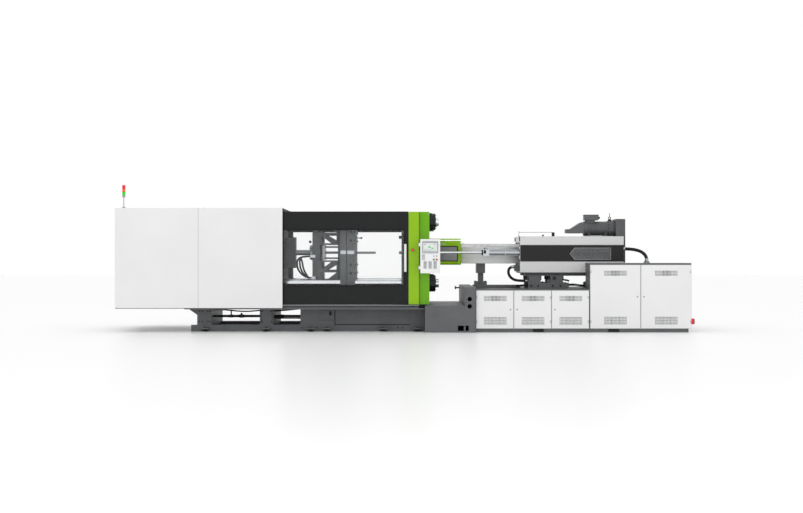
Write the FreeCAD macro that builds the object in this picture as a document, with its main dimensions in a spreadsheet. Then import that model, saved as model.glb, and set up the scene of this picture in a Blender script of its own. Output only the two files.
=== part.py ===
"""Horizontal toggle injection moulding machine, modelled in millimetres.

The origin lies on the floor below the fixed platen's mould face, on the machine's centre line.
+X points towards the injection unit, -Y towards the operator, +Z up.
"""
import FreeCAD, Part
import math
import os
import re
import Sketcher
from FreeCAD import Placement, Rotation, Vector

doc = FreeCAD.newDocument("InjectionMouldingMachine")

# ---------------------------------------------------------------- driving dimensions
SIZES = [
    # clamp unit
    ("axis_height", 1300, "height of the machine's axis above the floor"),
    ("bar_clearance", 880, "clear distance between the tie bars"),
    ("bar_diameter", 140, "tie bar diameter"),
    ("bar_rear_end", 3580, "tie bars reach this far behind the mould face"),
    ("bar_front_end", 620, "tie bars reach this far in front of the mould face"),
    ("slide_fit", 0.05, "radial clearance of a running fit"),
    ("free_gap", 0.3, "gap between pieces that pass each other"),
    ("platen_size", 1320, "width and height of the platens"),
    ("fixed_thickness", 400, "fixed platen thickness"),
    ("locating_bore", 200, "locating ring bore diameter"),
    ("locating_depth", 60, "locating ring bore depth"),
    ("nozzle_bore", 300, "bore for the barrel behind the locating ring"),
    ("mould_gap", 774, "distance between the platens' mould faces"),
    ("face_plate", 127, "moving platen: mould plate thickness"),
    ("face_groove", 10, "moving platen: groove behind the mould plate"),
    ("second_plate", 102, "moving platen: second plate thickness"),
    ("platen_neck", 53, "moving platen: recess behind the second plate"),
    ("rib_length", 298, "moving platen: length of the ribbed body"),
    ("rear_plate", 125, "moving platen: rear plate thickness"),
    ("rib_width", 860, "moving platen: width of ribs and rear plate"),
    ("rib_height", 1300, "moving platen: height of ribs and rear plate"),
    ("core_height", 264, "moving platen: open height round the ejector"),
    ("bolt_wide", 700, "mould bolts: wide spacing"),
    ("bolt_narrow", 280, "mould bolts: narrow spacing"),
    ("bolt_hole", 24, "mould bolts: hole diameter"),
    ("bolt_depth", 60, "mould bolts: hole depth"),
    ("foot_width", 1120, "platen feet, width"),
    ("tail_thickness", 350, "tail platen thickness"),
    ("nut_diameter", 280, "tie bar nut diameter"),
    ("nut_length", 170, "tie bar nut length"),
    # toggle
    ("pin_height", 560, "toggle pins above and below the axis"),
    ("pin_diameter", 110, "toggle pin diameter"),
    ("link_eye", 170, "outer diameter of a link's eye"),
    ("lug_reach", 95, "pin centre behind the moving platen's rear plate"),
    ("front_link", 610, "front link length, pin to pin"),
    ("rear_link", 450, "rear link length, pin to pin"),
    ("drive_drop", 140, "drive pin below the knee on the rear link"),
    ("drive_eye", 110, "outer diameter of the drive link's eye"),
    ("drive_pin", 60, "drive pin diameter"),
    ("tail_lug", 380, "tail lug reach, platen face to pin"),
    ("drive_layer", 110, "drive links start this far from the centre plane"),
    ("drive_thick", 60, "drive link thickness"),
    ("link_thick", 80, "rear and front link thickness"),
    ("layer_gap", 10, "gap between link layers"),
    ("lug_thick", 75, "thickness of an outer lug"),
    ("crosshead_offset", 450, "crosshead pin behind the front toggle pin"),
    ("crosshead_pin_height", 200, "crosshead pins above and below the axis"),
    ("crosshead_front", 237, "crosshead body in front of its pin"),
    ("crosshead_length", 327, "crosshead body length"),
    ("crosshead_height", 520, "crosshead body height"),
    ("crosshead_width", 208, "crosshead body width"),
    ("crosshead_bore", 130, "clear bore for the ejector cylinder"),
    ("clamp_rod", 60, "clamp cylinder rod diameter"),
    ("clamp_rod_offset", 130, "clamp rods above and below the axis"),
    ("clamp_bore", 140, "clamp cylinder bore"),
    ("clamp_outside", 200, "clamp cylinder outside diameter"),
    ("clamp_length", 850, "clamp cylinder length"),
    ("clamp_wall", 40, "clamp cylinder end wall"),
    ("piston_length", 80, "clamp piston length"),
    # ejector
    ("ejector_diameter", 90, "ejector cylinder diameter"),
    ("ejector_length", 316, "ejector cylinder length behind its flange"),
    ("ejector_flange", 250, "ejector flange diameter"),
    ("ejector_flange_thick", 61, "ejector flange thickness"),
    ("ejector_rod", 40, "ejector rod diameter"),
    ("ejector_plate_thick", 40, "ejector plate thickness"),
    ("ejector_plate_width", 420, "ejector plate width"),
    ("ejector_reach", 334, "central ejector rod reach beyond the mould face"),
    ("guide_bar", 28, "ejector guide bar diameter"),
    # base
    ("base_width", 1320, "clamp base width"),
    ("base_left", 3377, "clamp base left end"),
    ("base_nose", 165, "overhang of the base top beyond its left leg"),
    ("base_right", 379, "clamp base right end"),
    ("base_top", 425, "clamp base top"),
    ("beam_width", 180, "base beam width"),
    ("foot_beam", 105, "base foot beam height"),
    ("top_beam", 40, "base top beam height"),
    ("leg_first", 235, "first leg width along X"),
    ("leg_second_at", 2342, "second leg's left side"),
    ("leg_second", 225, "second leg width along X"),
    ("web_at", 1671, "left side of the base's closed part"),
    ("drop_at", 1093, "left side of the drop opening's panel"),
    ("drop_right", 132, "right side of the drop opening's panel"),
    ("cross_beam_at", 60, "left side of the cross beam under the fixed platen"),
    ("plate_thick", 20, "base plate thickness"),
    ("shelf_height", 390, "top of the shelf that carries covers and gates"),
    ("shelf_thick", 18, "shelf thickness"),
    ("rail_height", 20, "platen slide rail height"),
    ("rail_width", 160, "platen slide rail width"),
    # covers and gates
    ("cover_left", 4672, "left end of the clamp covers"),
    ("cover_seam", 3314, "seam between the two clamp covers"),
    ("cover_right", 1941, "right end of the clamp covers"),
    ("cover_half", 950, "clamp covers, half width"),
    ("cover_bottom", 393, "clamp covers' lower edge"),
    ("cover_rise", 725, "clamp covers' upper edge above the axis"),
    ("sheet", 3, "sheet metal thickness"),
    ("seam_gap", 4, "gap between neighbouring sheets"),
    ("tube", 25, "cover frame tube size"),
    ("gate_left", 2010, "safety gate's left edge"),
    ("gate_right", 111, "safety gate's right edge"),
    ("gate_inner", 872, "safety gate's inner face from the centre plane"),
    ("gate_thick", 40, "safety gate thickness"),
    ("gate_bottom", 455, "safety gate's lower edge"),
    ("gate_rise", 669, "safety gate's upper edge above the axis"),
    ("window_left", 1930, "gate window's left edge"),
    ("window_right", 41, "gate window's right edge"),
    ("window_drop", 540, "gate window's lower edge below the axis"),
    ("window_rise", 370, "gate window's upper edge above the axis"),
    ("pane_thick", 6, "window pane thickness"),
    ("gate_rail_left", 3925, "gate rail's left end"),
    ("gate_rail_right", 280, "gate rail's right end"),
    ("handle_at", 62, "gate handle centre"),
    ("handle_bottom", 976, "gate handle's lower end"),
    ("handle_top", 1446, "gate handle's upper end"),
    ("handle_width", 32, "gate handle width"),
    ("green_left", 116, "light platen cover's left edge"),
    ("green_right", 285, "light platen cover's right edge"),
    ("green_bottom", 452, "platen covers' lower edge"),
    ("green_rise", 665, "platen covers' upper edge above the axis"),
    ("green_half", 912, "light platen cover's outer face from the centre plane"),
    ("nut_cover_right", 457, "dark platen cover's right edge"),
    ("nut_cover_half", 870, "dark platen cover's outer face from the centre plane"),
    ("tower_at", 4545, "signal tower's place"),
    ("tower_diameter", 54, "signal tower diameter"),
    ("lens_height", 57, "signal lens height"),
    # control panel
    ("panel_left", 306, "control panel's left edge"),
    ("panel_width", 320, "control panel width"),
    ("panel_bottom", 963, "control panel's lower edge"),
    ("panel_height", 552, "control panel height"),
    ("panel_front", 1080, "control panel's front from the centre plane"),
    ("panel_thick", 60, "control panel thickness"),
    ("button_diameter", 26, "panel button diameter"),
    ("stop_diameter", 40, "emergency stop diameter"),
    # injection base and cabinets
    ("block_half", 1050, "injection base, half width"),
    ("block_low", 435, "injection base low part, height"),
    ("block_left", 382, "injection base, left end"),
    ("block_end_left", 1027, "end block's left side"),
    ("block_end_right", 1205, "end block's right side"),
    ("block_high", 736, "end block height"),
    ("deck_top", 700, "deck height"),
    ("deck_thick", 40, "deck thickness"),
    ("deck_half", 1000, "deck and cabinets, half width"),
    ("deck_right", 4712, "right end of deck and cabinets"),
    ("plinth", 61, "plinth height"),
    ("door_small", 607, "small door width"),
    ("door_pitch", 614, "small doors, left edge to left edge"),
    ("door_left", 1215, "first door's left edge"),
    ("door_large", 820, "large door width"),
    ("cabinet_left", 3067, "drive cabinet's left edge"),
    ("cabinet_depth", 520, "drive cabinet depth"),
    ("cabinet_top", 1101, "drive cabinet door top"),
    ("roof_thick", 26, "drive cabinet roof thickness"),
    ("door_top", 683, "small doors' upper edge"),
    ("door_thick", 20, "door thickness"),
    ("isolator_reach", 62, "main switch knob, reach beyond the cabinet"),
    ("isolator_diameter", 96, "main switch knob diameter"),
    ("isolator_height", 175, "main switch knob's centre above the floor"),
    ("slot_width", 9, "vent slot width"),
    ("upper_vent", 88, "upper vent height"),
    ("lower_vent", 132, "lower vent height"),
    # injection unit
    ("shoe_height", 116, "guide shoe height on its bed"),
    ("bed_height", 94, "bed height on the deck"),
    ("rail_beam", 42, "carriage rail beam height"),
    ("carriage_left", 2000, "front injection plate's left face"),
    ("carriage_plate", 180, "front injection plate thickness"),
    ("carriage_right", 3700, "carriage right end"),
    ("carriage_half", 400, "carriage half width"),
    ("barrel_diameter", 220, "barrel outside diameter"),
    ("barrel_left", 150, "barrel's front end"),
    ("screw_diameter", 100, "screw diameter"),
    ("screw_fit", 0.1, "radial clearance of the screw in the barrel"),
    ("nozzle_reach", 43, "nozzle tip in front of the mould face"),
    ("nozzle_diameter", 50, "nozzle tip diameter"),
    ("band_length", 150, "heater band length"),
    ("band_thick", 14, "heater band thickness"),
    ("barrel_cover_left", 1002, "barrel cover's left end"),
    ("barrel_cover_half", 220, "barrel cover, half width"),
    ("barrel_cover_drop", 185, "barrel cover's lower edge below the axis"),
    ("barrel_cover_rise", 150, "barrel cover's upper edge above the axis"),
    ("pull_offset", 330, "carriage cylinders from the centre plane"),
    ("pull_rod", 36, "carriage cylinder rod diameter"),
    ("pull_head", 110, "carriage cylinder head size"),
    ("pull_head_at", 1366, "carriage cylinder head's left face"),
    ("pull_barrel", 93, "carriage cylinder outside diameter"),
    ("unit_left", 1980, "injection unit cover's left end"),
    ("unit_right", 3711, "injection unit cover's right end"),
    ("unit_half", 440, "injection unit cover, half width"),
    ("unit_drop", 330, "injection unit cover's lower edge below the axis"),
    ("unit_rise", 271, "injection unit cover's upper edge above the axis"),
    ("band_drop", 150, "black band's lower edge below the axis"),
    ("band_rise", 126, "black band's upper edge above the axis"),
    ("thrust_at", 3100, "thrust plate's left face"),
    ("thrust_thick", 150, "thrust plate thickness"),
    ("guide_rod", 60, "guide rod diameter"),
    ("guide_side", 300, "guide rods from the centre plane"),
    ("guide_rise", 180, "guide rods above and below the axis"),
    ("motor_rise", 410, "drive motor's axis above the machine's axis"),
    ("motor_diameter", 250, "drive motor diameter"),
    ("motor_left", 3096, "drive motor's left end"),
    ("motor_right", 3547, "drive motor body's right end"),
    ("bell_right", 3625, "drive motor end bell's right end"),
    ("belt_box_right", 3782, "belt box's right side"),
    ("belt_box_half", 190, "belt box, half width"),
    ("motor_pulley", 120, "motor pulley diameter"),
    ("screw_pulley", 240, "screw pulley diameter"),
    ("belt_width", 70, "drive belt width"),
    ("belt_thick", 8, "drive belt thickness"),
    ("guard_left", 401, "nozzle guard's left end"),
    ("guard_half", 250, "nozzle guard, half width"),
    ("guard_drop", 206, "nozzle guard's lower edge below the axis"),
    ("guard_rise", 237, "nozzle guard's upper edge above the axis"),
]

sheet = doc.addObject("Spreadsheet::Sheet", "Sizes")
for row, (alias, value, meaning) in enumerate(SIZES, 1):
    sheet.set("A%d" % row, meaning)
    sheet.set("B%d" % row, str(value))
    sheet.setAlias("B%d" % row, alias)
doc.recompute()

ALIASES = {alias for alias, value, meaning in SIZES}
SUBPARTS = []
BAR_AT = "(bar_clearance + bar_diameter) / 2"


# ---------------------------------------------------------------- building helpers
def formula(text):
    """An expression on the sheet's cells, from plain words such as 'bar_diameter / 2'."""
    def cell(word):
        return "Sizes." + word.group(0) if word.group(0) in ALIASES else word.group(0)
    return re.sub(r"[a-z_]{3,}", cell, str(text))



def number(text):
    """The value of such an expression, in millimetres."""
    value = sheet.evalExpression(formula(text))
    return float(getattr(value, "Value", value))


def bind(thing, **links):
    """Bind properties of an object to expressions; a double underscore stands for a dot."""
    for name, text in links.items():
        thing.setExpression(name.replace("__", "."), formula(text))
    return thing


def box(name, x, y, z):
    """A block between two faces on each axis; x, y and z are pairs of expressions."""
    block = doc.addObject("Part::Box", name)
    for size_name, place, (low, high) in zip(("Length", "Width", "Height"), "xyz", (x, y, z)):
        bind(block, **{size_name: "(%s) - (%s)" % (high, low)})
        bind(block, **{"Placement__Base__" + place: low})
    return block


TURN = {
    "x": Rotation(Vector(0, 1, 0), 90),
    "y": Rotation(Vector(1, 0, 0), -90),
    "z": Rotation(),
}


def rod(name, axis, ends, diameter, centre):
    """A cylinder along an axis, between two ends; centre is the pair of the other coordinates."""
    bar = doc.addObject("Part::Cylinder", name)
    bar.Placement = Placement(Vector(), TURN[axis])
    others = [letter for letter in "xyz" if letter != axis]
    bind(bar, Radius="(%s) / 2" % diameter, Height="(%s) - (%s)" % (ends[1], ends[0]))
    bind(bar, **{"Placement__Base__" + axis: ends[0]})
    for letter, text in zip(others, centre):
        bind(bar, **{"Placement__Base__" + letter: text})
    return bar


def cone(name, ends, first, last, centre):
    """A cone along X, between two ends, with its first and last diameters."""
    tip = doc.addObject("Part::Cone", name)
    tip.Placement = Placement(Vector(), TURN["x"])
    bind(tip, Radius1="(%s) / 2" % first, Radius2="(%s) / 2" % last)
    bind(tip, Height="(%s) - (%s)" % (ends[1], ends[0]))
    bind(tip, Placement__Base__x=ends[0], Placement__Base__y=centre[0], Placement__Base__z=centre[1])
    return tip


def fuse(name, *pieces):
    whole = doc.addObject("Part::MultiFuse", name)
    whole.Shapes = list(pieces)
    return whole


def cut(name, base, *tools):
    """The base less its tools."""
    rest = doc.addObject("Part::Cut", name)
    rest.Base = base
    rest.Tool = tools[0] if len(tools) == 1 else group(name + "_tools", *tools)
    return rest


def group(name, *pieces):
    """Separate solids held in one object."""
    kit = doc.addObject("Part::Compound", name)
    kit.Links = list(pieces)
    return kit


def subpart(label, thing):
    """Give an object the label that names its file."""
    thing.Label = label
    SUBPARTS.append(thing)
    return thing


PLANES = {"XY": "XY_Plane", "XZ": "XZ_Plane", "YZ": "YZ_Plane"}


def sketch_on(body, name, plane, at):
    """A sketch on one of the body's origin planes, moved to a place along the normal's axis."""
    sketch = body.newObject("Sketcher::SketchObject", name)
    flat = [f for f in body.Origin.OriginFeatures if f.Role == PLANES[plane]][0]
    sketch.AttachmentSupport = [(flat, "")]
    sketch.MapMode = "FlatFace"
    side = "-(%s)" if plane == "XZ" else "(%s)"
    bind(sketch, AttachmentOffset__Base__z=side % at)
    return sketch


def outline(sketch, points):
    """A closed outline; each corner is a pair of expressions that drive its two dimensions."""
    first = sketch.GeometryCount
    rough = [Vector(number(u), number(v), 0) for u, v in points]
    for here, there in zip(rough, rough[1:] + rough[:1]):
        sketch.addGeometry(Part.LineSegment(here, there), False)
    for i in range(len(points)):
        after = first + (i + 1) % len(points)
        sketch.addConstraint(Sketcher.Constraint("Coincident", first + i, 2, after, 1))
    for i, (u, v) in enumerate(points):
        for kind, text, place in (("DistanceX", u, rough[i].x), ("DistanceY", v, rough[i].y)):
            number_of = sketch.addConstraint(Sketcher.Constraint(kind, -1, 1, first + i, 1, place))
            sketch.setExpression("Constraints[%d]" % number_of, formula(text))


def hole_circle(sketch, u, v, diameter):
    """A circle whose centre and diameter are expressions."""
    centre = Vector(number(u), number(v), 0)
    circle = sketch.addGeometry(Part.Circle(centre, Vector(0, 0, 1), number(diameter) / 2), False)
    for kind, text, place in (("DistanceX", u, centre.x), ("DistanceY", v, centre.y)):
        number_of = sketch.addConstraint(Sketcher.Constraint(kind, -1, 1, circle, 3, place))
        sketch.setExpression("Constraints[%d]" % number_of, formula(text))
    number_of = sketch.addConstraint(Sketcher.Constraint("Diameter", circle, number(diameter)))
    sketch.setExpression("Constraints[%d]" % number_of, formula(diameter))


def rectangle(u, v):
    """The four corners of a rectangle between two pairs of expressions."""
    return [(u[0], v[0]), (u[1], v[0]), (u[1], v[1]), (u[0], v[1])]


def padded(name, plane, ends, points):
    """A body with one pad of an outline, between two places along the plane's normal."""
    body = doc.addObject("PartDesign::Body", name)
    start = ends[1] if plane == "XZ" else ends[0]
    profile = sketch_on(body, name + "_profile", plane, start)
    outline(profile, points)
    pad = body.newObject("PartDesign::Pad", name + "_pad")
    pad.Profile = profile
    bind(pad, Length="(%s) - (%s)" % (ends[1], ends[0]))
    doc.recompute()
    return body


def pocketed(body, name, plane, ends, outlines=(), circles=()):
    """Cut outlines or circles out of a body, between two places along the plane's normal."""
    before = body.Shape.Volume
    start = ends[1] if plane == "XZ" else ends[0]
    profile = sketch_on(body, name + "_profile", plane, start)
    for points in outlines:
        outline(profile, points)
    for u, v, diameter in circles:
        hole_circle(profile, u, v, diameter)
    pocket = body.newObject("PartDesign::Pocket", name)
    pocket.Profile = profile
    pocket.Reversed = True
    bind(pocket, Length="(%s) - (%s)" % (ends[1], ends[0]))
    doc.recompute()
    if body.Shape.Volume >= before:
        raise ValueError(name + " cuts nothing")
    return pocket


SIDES = (("front", "-"), ("rear", ""))
CORNERS = [(y, z) for y in ("-", "") for z in ("-", "")]

# Stations along X, as expressions on the sheet.
MOULD_FACE = "-mould_gap"
SECOND_FACE = MOULD_FACE + " - face_plate - face_groove"
NECK = SECOND_FACE + " - second_plate"
RIBS = NECK + " - platen_neck"
REAR_PLATE = RIBS + " - rib_length"
MOVING_BACK = REAR_PLATE + " - rear_plate"
FRONT_PIN = MOVING_BACK + " - lug_reach"
KNEE = FRONT_PIN + " - front_link"
TAIL_PIN = KNEE + " - rear_link"
TAIL_FACE = TAIL_PIN + " - tail_lug"
TAIL_BACK = TAIL_FACE + " - tail_thickness"
CROSS_PIN = FRONT_PIN + " - crosshead_offset"

# Distances from the centre plane where the link layers start.
REAR_LAYER = "drive_layer + drive_thick + layer_gap"
FRONT_LAYER = REAR_LAYER + " + link_thick + layer_gap"
OUTER_LAYER = FRONT_LAYER + " + link_thick"


def beside(sign, near, far):
    """The pair of Y places between two distances from the centre plane, on one side."""
    if sign == "-":
        return "-(%s)" % far, "-(%s)" % near
    return near, far


def four_rods(name, ends, diameter, side, rise):
    """Four rods along X round the machine's axis."""
    return [
        rod("%s_%d" % (name, i), "x", ends, diameter, (y + side, "axis_height %s %s" % (z or "+", rise)))
        for i, (y, z) in enumerate(CORNERS)
    ]


# ---------------------------------------------------------------- clamp base
def clamp_base():
    """Welded base: foot and top beams, two legs, a closed part with a drop opening, a shelf."""
    half = "base_width / 2"
    left, right = "-base_left", "base_right"
    parts = []
    for side, sign in SIDES:
        beam = beside(sign, half + " - beam_width", half)
        skin = beside(sign, half + " - plate_thick", half)
        parts.append(box(side + "_foot_beam", (left, right), beam, ("0", "foot_beam")))
        parts.append(box(side + "_top_beam", (left + " - base_nose", right), beam,
                         ("base_top - top_beam", "base_top")))
        parts.append(box(side + "_web", ("-web_at", "-drop_at"), skin,
                         ("foot_beam", "base_top - top_beam")))
        shelf = beside(sign, half, "cover_half - sheet")
        parts.append(box(side + "_shelf", (left + " - base_nose", right), shelf,
                         ("shelf_height - shelf_thick", "shelf_height")))
        gusset = padded(side + "_gusset", "XZ", skin, [
            (left + " - base_nose", "base_top - top_beam"),
            (left, "base_top - top_beam - base_nose * 0.7"),
            (left, "base_top - top_beam")])
        parts.append(gusset)
        parts.append(box(side + "_stub", (left + " - base_nose * 0.6", left), skin,
                         ("0", "foot_beam")))
    width = ("-(%s)" % half, half)
    inner = ("-(%s) + plate_thick" % half, half + " - plate_thick")
    post = ("0", "base_top - top_beam")
    for name, at, wide in (("first", left, "leg_first"), ("second", "-leg_second_at", "leg_second")):
        leg = box(name + "_leg_block", (at, "%s + %s" % (at, wide)), width, post)
        bay = box(name + "_leg_bay", (at + " + plate_thick", "%s + %s - plate_thick" % (at, wide)),
                  inner, ("-1", "base_top - top_beam - plate_thick"))
        parts.append(cut(name + "_leg", leg, bay))
    parts.append(box("cross_wall", ("-web_at", "-web_at + plate_thick"), width, post))
    beam = box("cross_beam_block", ("-cross_beam_at", right), width, ("0", "base_top"))
    bay = box("cross_beam_bay", ("-cross_beam_at + plate_thick", right + " - plate_thick"),
              inner, ("plate_thick", "base_top - plate_thick"))
    parts.append(cut("cross_beam", beam, bay))
    return subpart("clamp_base", fuse("base_weldment", *parts))


def drop_panel():
    """Removable folded panel in front of the drop opening, with two finger slots."""
    half = "base_width / 2"
    panel = box("drop_sheet", ("-drop_at", "drop_right"), ("-(%s) - sheet * 2" % half, "-(%s)" % half),
                ("foot_beam + 12", "shelf_height - shelf_thick"))
    slots = [
        rod("finger_slot_%d" % i, "y", ("-(%s) - 20" % half, "-(%s) + 5" % half), "24",
            ("-drop_at + (drop_at + drop_right) * %s" % share, "shelf_height - shelf_thick - 60"))
        for i, share in enumerate(("0.25", "0.75"))
    ]
    return subpart("drop_panel", cut("drop_cover", panel, *slots))


def slide_rails():
    """Hardened strips on the base for the moving and tail platens' feet."""
    strips = []
    for side, sign in SIDES:
        place = beside(sign, "base_width / 2 - rail_width", "base_width / 2")
        strips.append(box(side + "_strip", ("-base_left - base_nose * 0.5", "-cross_beam_at - 20"), place,
                          ("base_top", "base_top + rail_height")))
    return subpart("slide_rails", group("strips", *strips))


# ---------------------------------------------------------------- platens, bars and nuts
def feet(name, x):
    """Two feet under a platen, resting on the slide rails."""
    return [
        box("%s_%s_foot" % (name, side), x, beside(sign, "foot_width / 2 - rail_width", "foot_width / 2"),
            ("base_top + rail_height", "axis_height - platen_size / 2"))
        for side, sign in SIDES
    ]


def mould_bolts(body, name, ends):
    """Threaded holes for mould bolts: a wide square, a wide-and-narrow and a narrow square."""
    circles = []
    for wide, high in (("bolt_wide", "bolt_wide"), ("bolt_wide", "bolt_narrow"),
                       ("bolt_narrow", "bolt_wide")):
        for y, z in CORNERS:
            circles.append((y + wide + " / 2", "axis_height %s %s / 2" % (z or "+", high), "bolt_hole"))
    pocketed(body, name, "YZ", ends, circles=circles)


def bar_holes(extra):
    """Circles round the four tie bars, wider than the bars by an extra diameter."""
    return [
        (y + BAR_AT, "axis_height %s " % (z or "+") + BAR_AT, "bar_diameter + " + extra)
        for y, z in CORNERS
    ]


def platen_square():
    """Chamfered square outline of a platen, in Y and Z."""
    half, nick = "platen_size / 2", "platen_size / 16"
    return [
        ("-(%s) + %s" % (half, nick), "axis_height - " + half),
        ("%s - %s" % (half, nick), "axis_height - " + half),
        (half, "axis_height - %s + %s" % (half, nick)),
        (half, "axis_height + %s - %s" % (half, nick)),
        ("%s - %s" % (half, nick), "axis_height + " + half),
        ("-(%s) + %s" % (half, nick), "axis_height + " + half),
        ("-(%s)" % half, "axis_height + %s - %s" % (half, nick)),
        ("-(%s)" % half, "axis_height - %s + %s" % (half, nick)),
    ]


def fixed_platen():
    """Cast platen with the locating ring bore, the barrel bore and mould bolt holes."""
    body = padded("fixed_plate", "YZ", ("0", "fixed_thickness"), platen_square())
    pocketed(body, "fixed_bar_holes", "YZ", ("0", "fixed_thickness + 1"), circles=bar_holes("0"))
    pocketed(body, "fixed_barrel_bore", "YZ", ("locating_depth", "fixed_thickness + 1"),
             circles=[("0", "axis_height", "nozzle_bore")])
    pocketed(body, "fixed_locating_bore", "YZ", ("-1", "locating_depth + 1"),
             circles=[("0", "axis_height", "locating_bore")])
    mould_bolts(body, "fixed_bolt_holes", ("-1", "bolt_depth"))
    foot = box("fixed_foot", ("0", "fixed_thickness - 40"), ("-foot_width / 2", "foot_width / 2"),
               ("base_top", "axis_height - platen_size / 2"))
    return subpart("fixed_platen", fuse("fixed_casting", body, foot))


def moving_platen():
    """Casting: mould plate, groove, second plate, neck, triangulated ribs and rear plate with lugs."""
    parts = []
    for name, near, far in (("mould_plate", MOULD_FACE, MOULD_FACE + " - face_plate"),
                            ("second_plate_block", SECOND_FACE, NECK)):
        body = padded(name, "YZ", (far, near), platen_square())
        pocketed(body, name + "_bar_holes", "YZ", (far, near + " + 1"),
                 circles=bar_holes("slide_fit * 2"))
        if name == "mould_plate":
            mould_bolts(body, "moving_bolt_holes", (near + " - bolt_depth", near + " + 1"))
        pocketed(body, name + "_rod_hole", "YZ", (far, near + " + 1"), circles=[
            ("0", "axis_height", "ejector_rod + free_gap * 2")])
        parts.append(body)
    inner = "platen_size * 0.43"
    web = box("groove_web", (SECOND_FACE, MOULD_FACE + " - face_plate"), ("-" + inner, inner),
              ("axis_height - platen_size * 0.27", "axis_height + platen_size * 0.27"))
    web_bore = rod("web_bore", "x", (SECOND_FACE + " - 1", MOULD_FACE), "ejector_plate_width + 160",
                   ("0", "axis_height"))
    parts.append(cut("groove_core", web, web_bore))
    parts.extend(rib_body())
    for side, sign in SIDES:
        parts.append(rear_lugs(side, sign))
    parts.extend(feet("moving", (NECK, MOULD_FACE + " - face_plate - face_groove")))
    pins = toggle_pins("moving", FRONT_PIN, FRONT_LAYER, OUTER_LAYER + " + layer_gap / 2 + lug_thick")
    casting = fuse("moving_casting", *parts)
    bored = cut("moving_bored", casting, *pins[0])
    return subpart("moving_platen", group("moving_platen_with_pins", bored, *pins[1]))


def rib_body():
    """Upper and lower ribbed boxes with triangular windows, the neck and the rear plate."""
    half = "rib_width / 2"
    pieces = []
    for name, sign in (("upper", "+"), ("lower", "-")):
        low, high = "axis_height %s core_height / 2" % sign, "axis_height %s rib_height / 2" % sign
        body = padded(name + "_ribs", "XZ", ("-(%s)" % half, half), [
            (REAR_PLATE, low), (RIBS, low), (RIBS, high), (REAR_PLATE, high)])
        mid = "axis_height %s rib_height * 0.21" % sign
        top = "axis_height %s rib_height * 0.40" % sign
        near, far = RIBS + " - 20", REAR_PLATE + " + 30"
        pocketed(body, name + "_windows", "XZ", ("-(%s) - 1" % half, half + " + 1"), outlines=[
            [(far, "axis_height %s core_height / 2 %s 25" % (sign, sign)),
             (far, mid), (near + " - 90", "axis_height %s core_height / 2 %s 25" % (sign, sign))],
            [(near, "axis_height %s core_height / 2 %s 60" % (sign, sign)),
             (near, mid + " %s 20" % sign), (far + " + 70", mid + " %s 20" % sign)],
            [(far, mid + " %s 60" % sign), (near, mid + " %s 60" % sign), (far, top)],
        ])
        pieces.append(body)
    neck = box("neck_block", (RIBS, NECK), ("-(%s) * 0.86" % half, half + " * 0.86"),
               ("axis_height - rib_height * 0.42", "axis_height + rib_height * 0.42"))
    neck_bay = box("neck_bay", (RIBS + " - 1", NECK + " + 1"), ("-(%s) * 0.55" % half, half + " * 0.55"),
                   ("axis_height - core_height / 2", "axis_height + core_height / 2"))
    pieces.append(cut("neck", neck, neck_bay))
    plate = box("rear_plate_block", (MOVING_BACK, REAR_PLATE), ("-(%s)" % half, half),
                ("axis_height - rib_height / 2", "axis_height + rib_height / 2"))
    bore = rod("rear_plate_bore", "x", (MOVING_BACK + " - 1", REAR_PLATE + " + 1"),
               "ejector_rod + free_gap * 2", ("0", "axis_height"))
    pieces.append(cut("rear_plate_bored", plate, bore))
    return pieces


def rear_lugs(side, sign):
    """Lugs on the moving platen that hold the front toggle pins, inside and outside each link."""
    lugs = []
    layers = ((REAR_LAYER, FRONT_LAYER + " - layer_gap / 2"),
              (OUTER_LAYER + " + layer_gap / 2", OUTER_LAYER + " + layer_gap / 2 + lug_thick"))
    for i, (near, far) in enumerate(layers):
        place = beside(sign, near, far)
        for level in ("+", "-"):
            z = "axis_height %s pin_height" % level
            name = "moving_lug_%s_%d_%s" % (side, i, "up" if level == "+" else "down")
            eye = rod(name + "_eye", "y", place, "link_eye", (FRONT_PIN, z))
            root = box(name + "_root", (FRONT_PIN, MOVING_BACK + " + 1"), place,
                       (z + " - link_eye / 2", z + " + link_eye / 2"))
            lugs += [eye, root]
    return fuse("moving_lugs_" + side, *lugs)


def toggle_pins(name, x, near, far):
    """Pins on both sides, above and below the axis; returns hole tools and the pins themselves."""
    holes, pins = [], []
    for side, sign in SIDES:
        for level in ("+", "-"):
            z = "axis_height %s pin_height" % level
            tag = "%s_pin_%s_%s" % (name, side, "up" if level == "+" else "down")
            place = beside(sign, near, far)
            holes.append(rod(tag + "_hole", "y", place, "pin_diameter", (x, z)))
            pins.append(rod(tag, "y", place, "pin_diameter", (x, z)))
    return holes, pins


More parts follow.
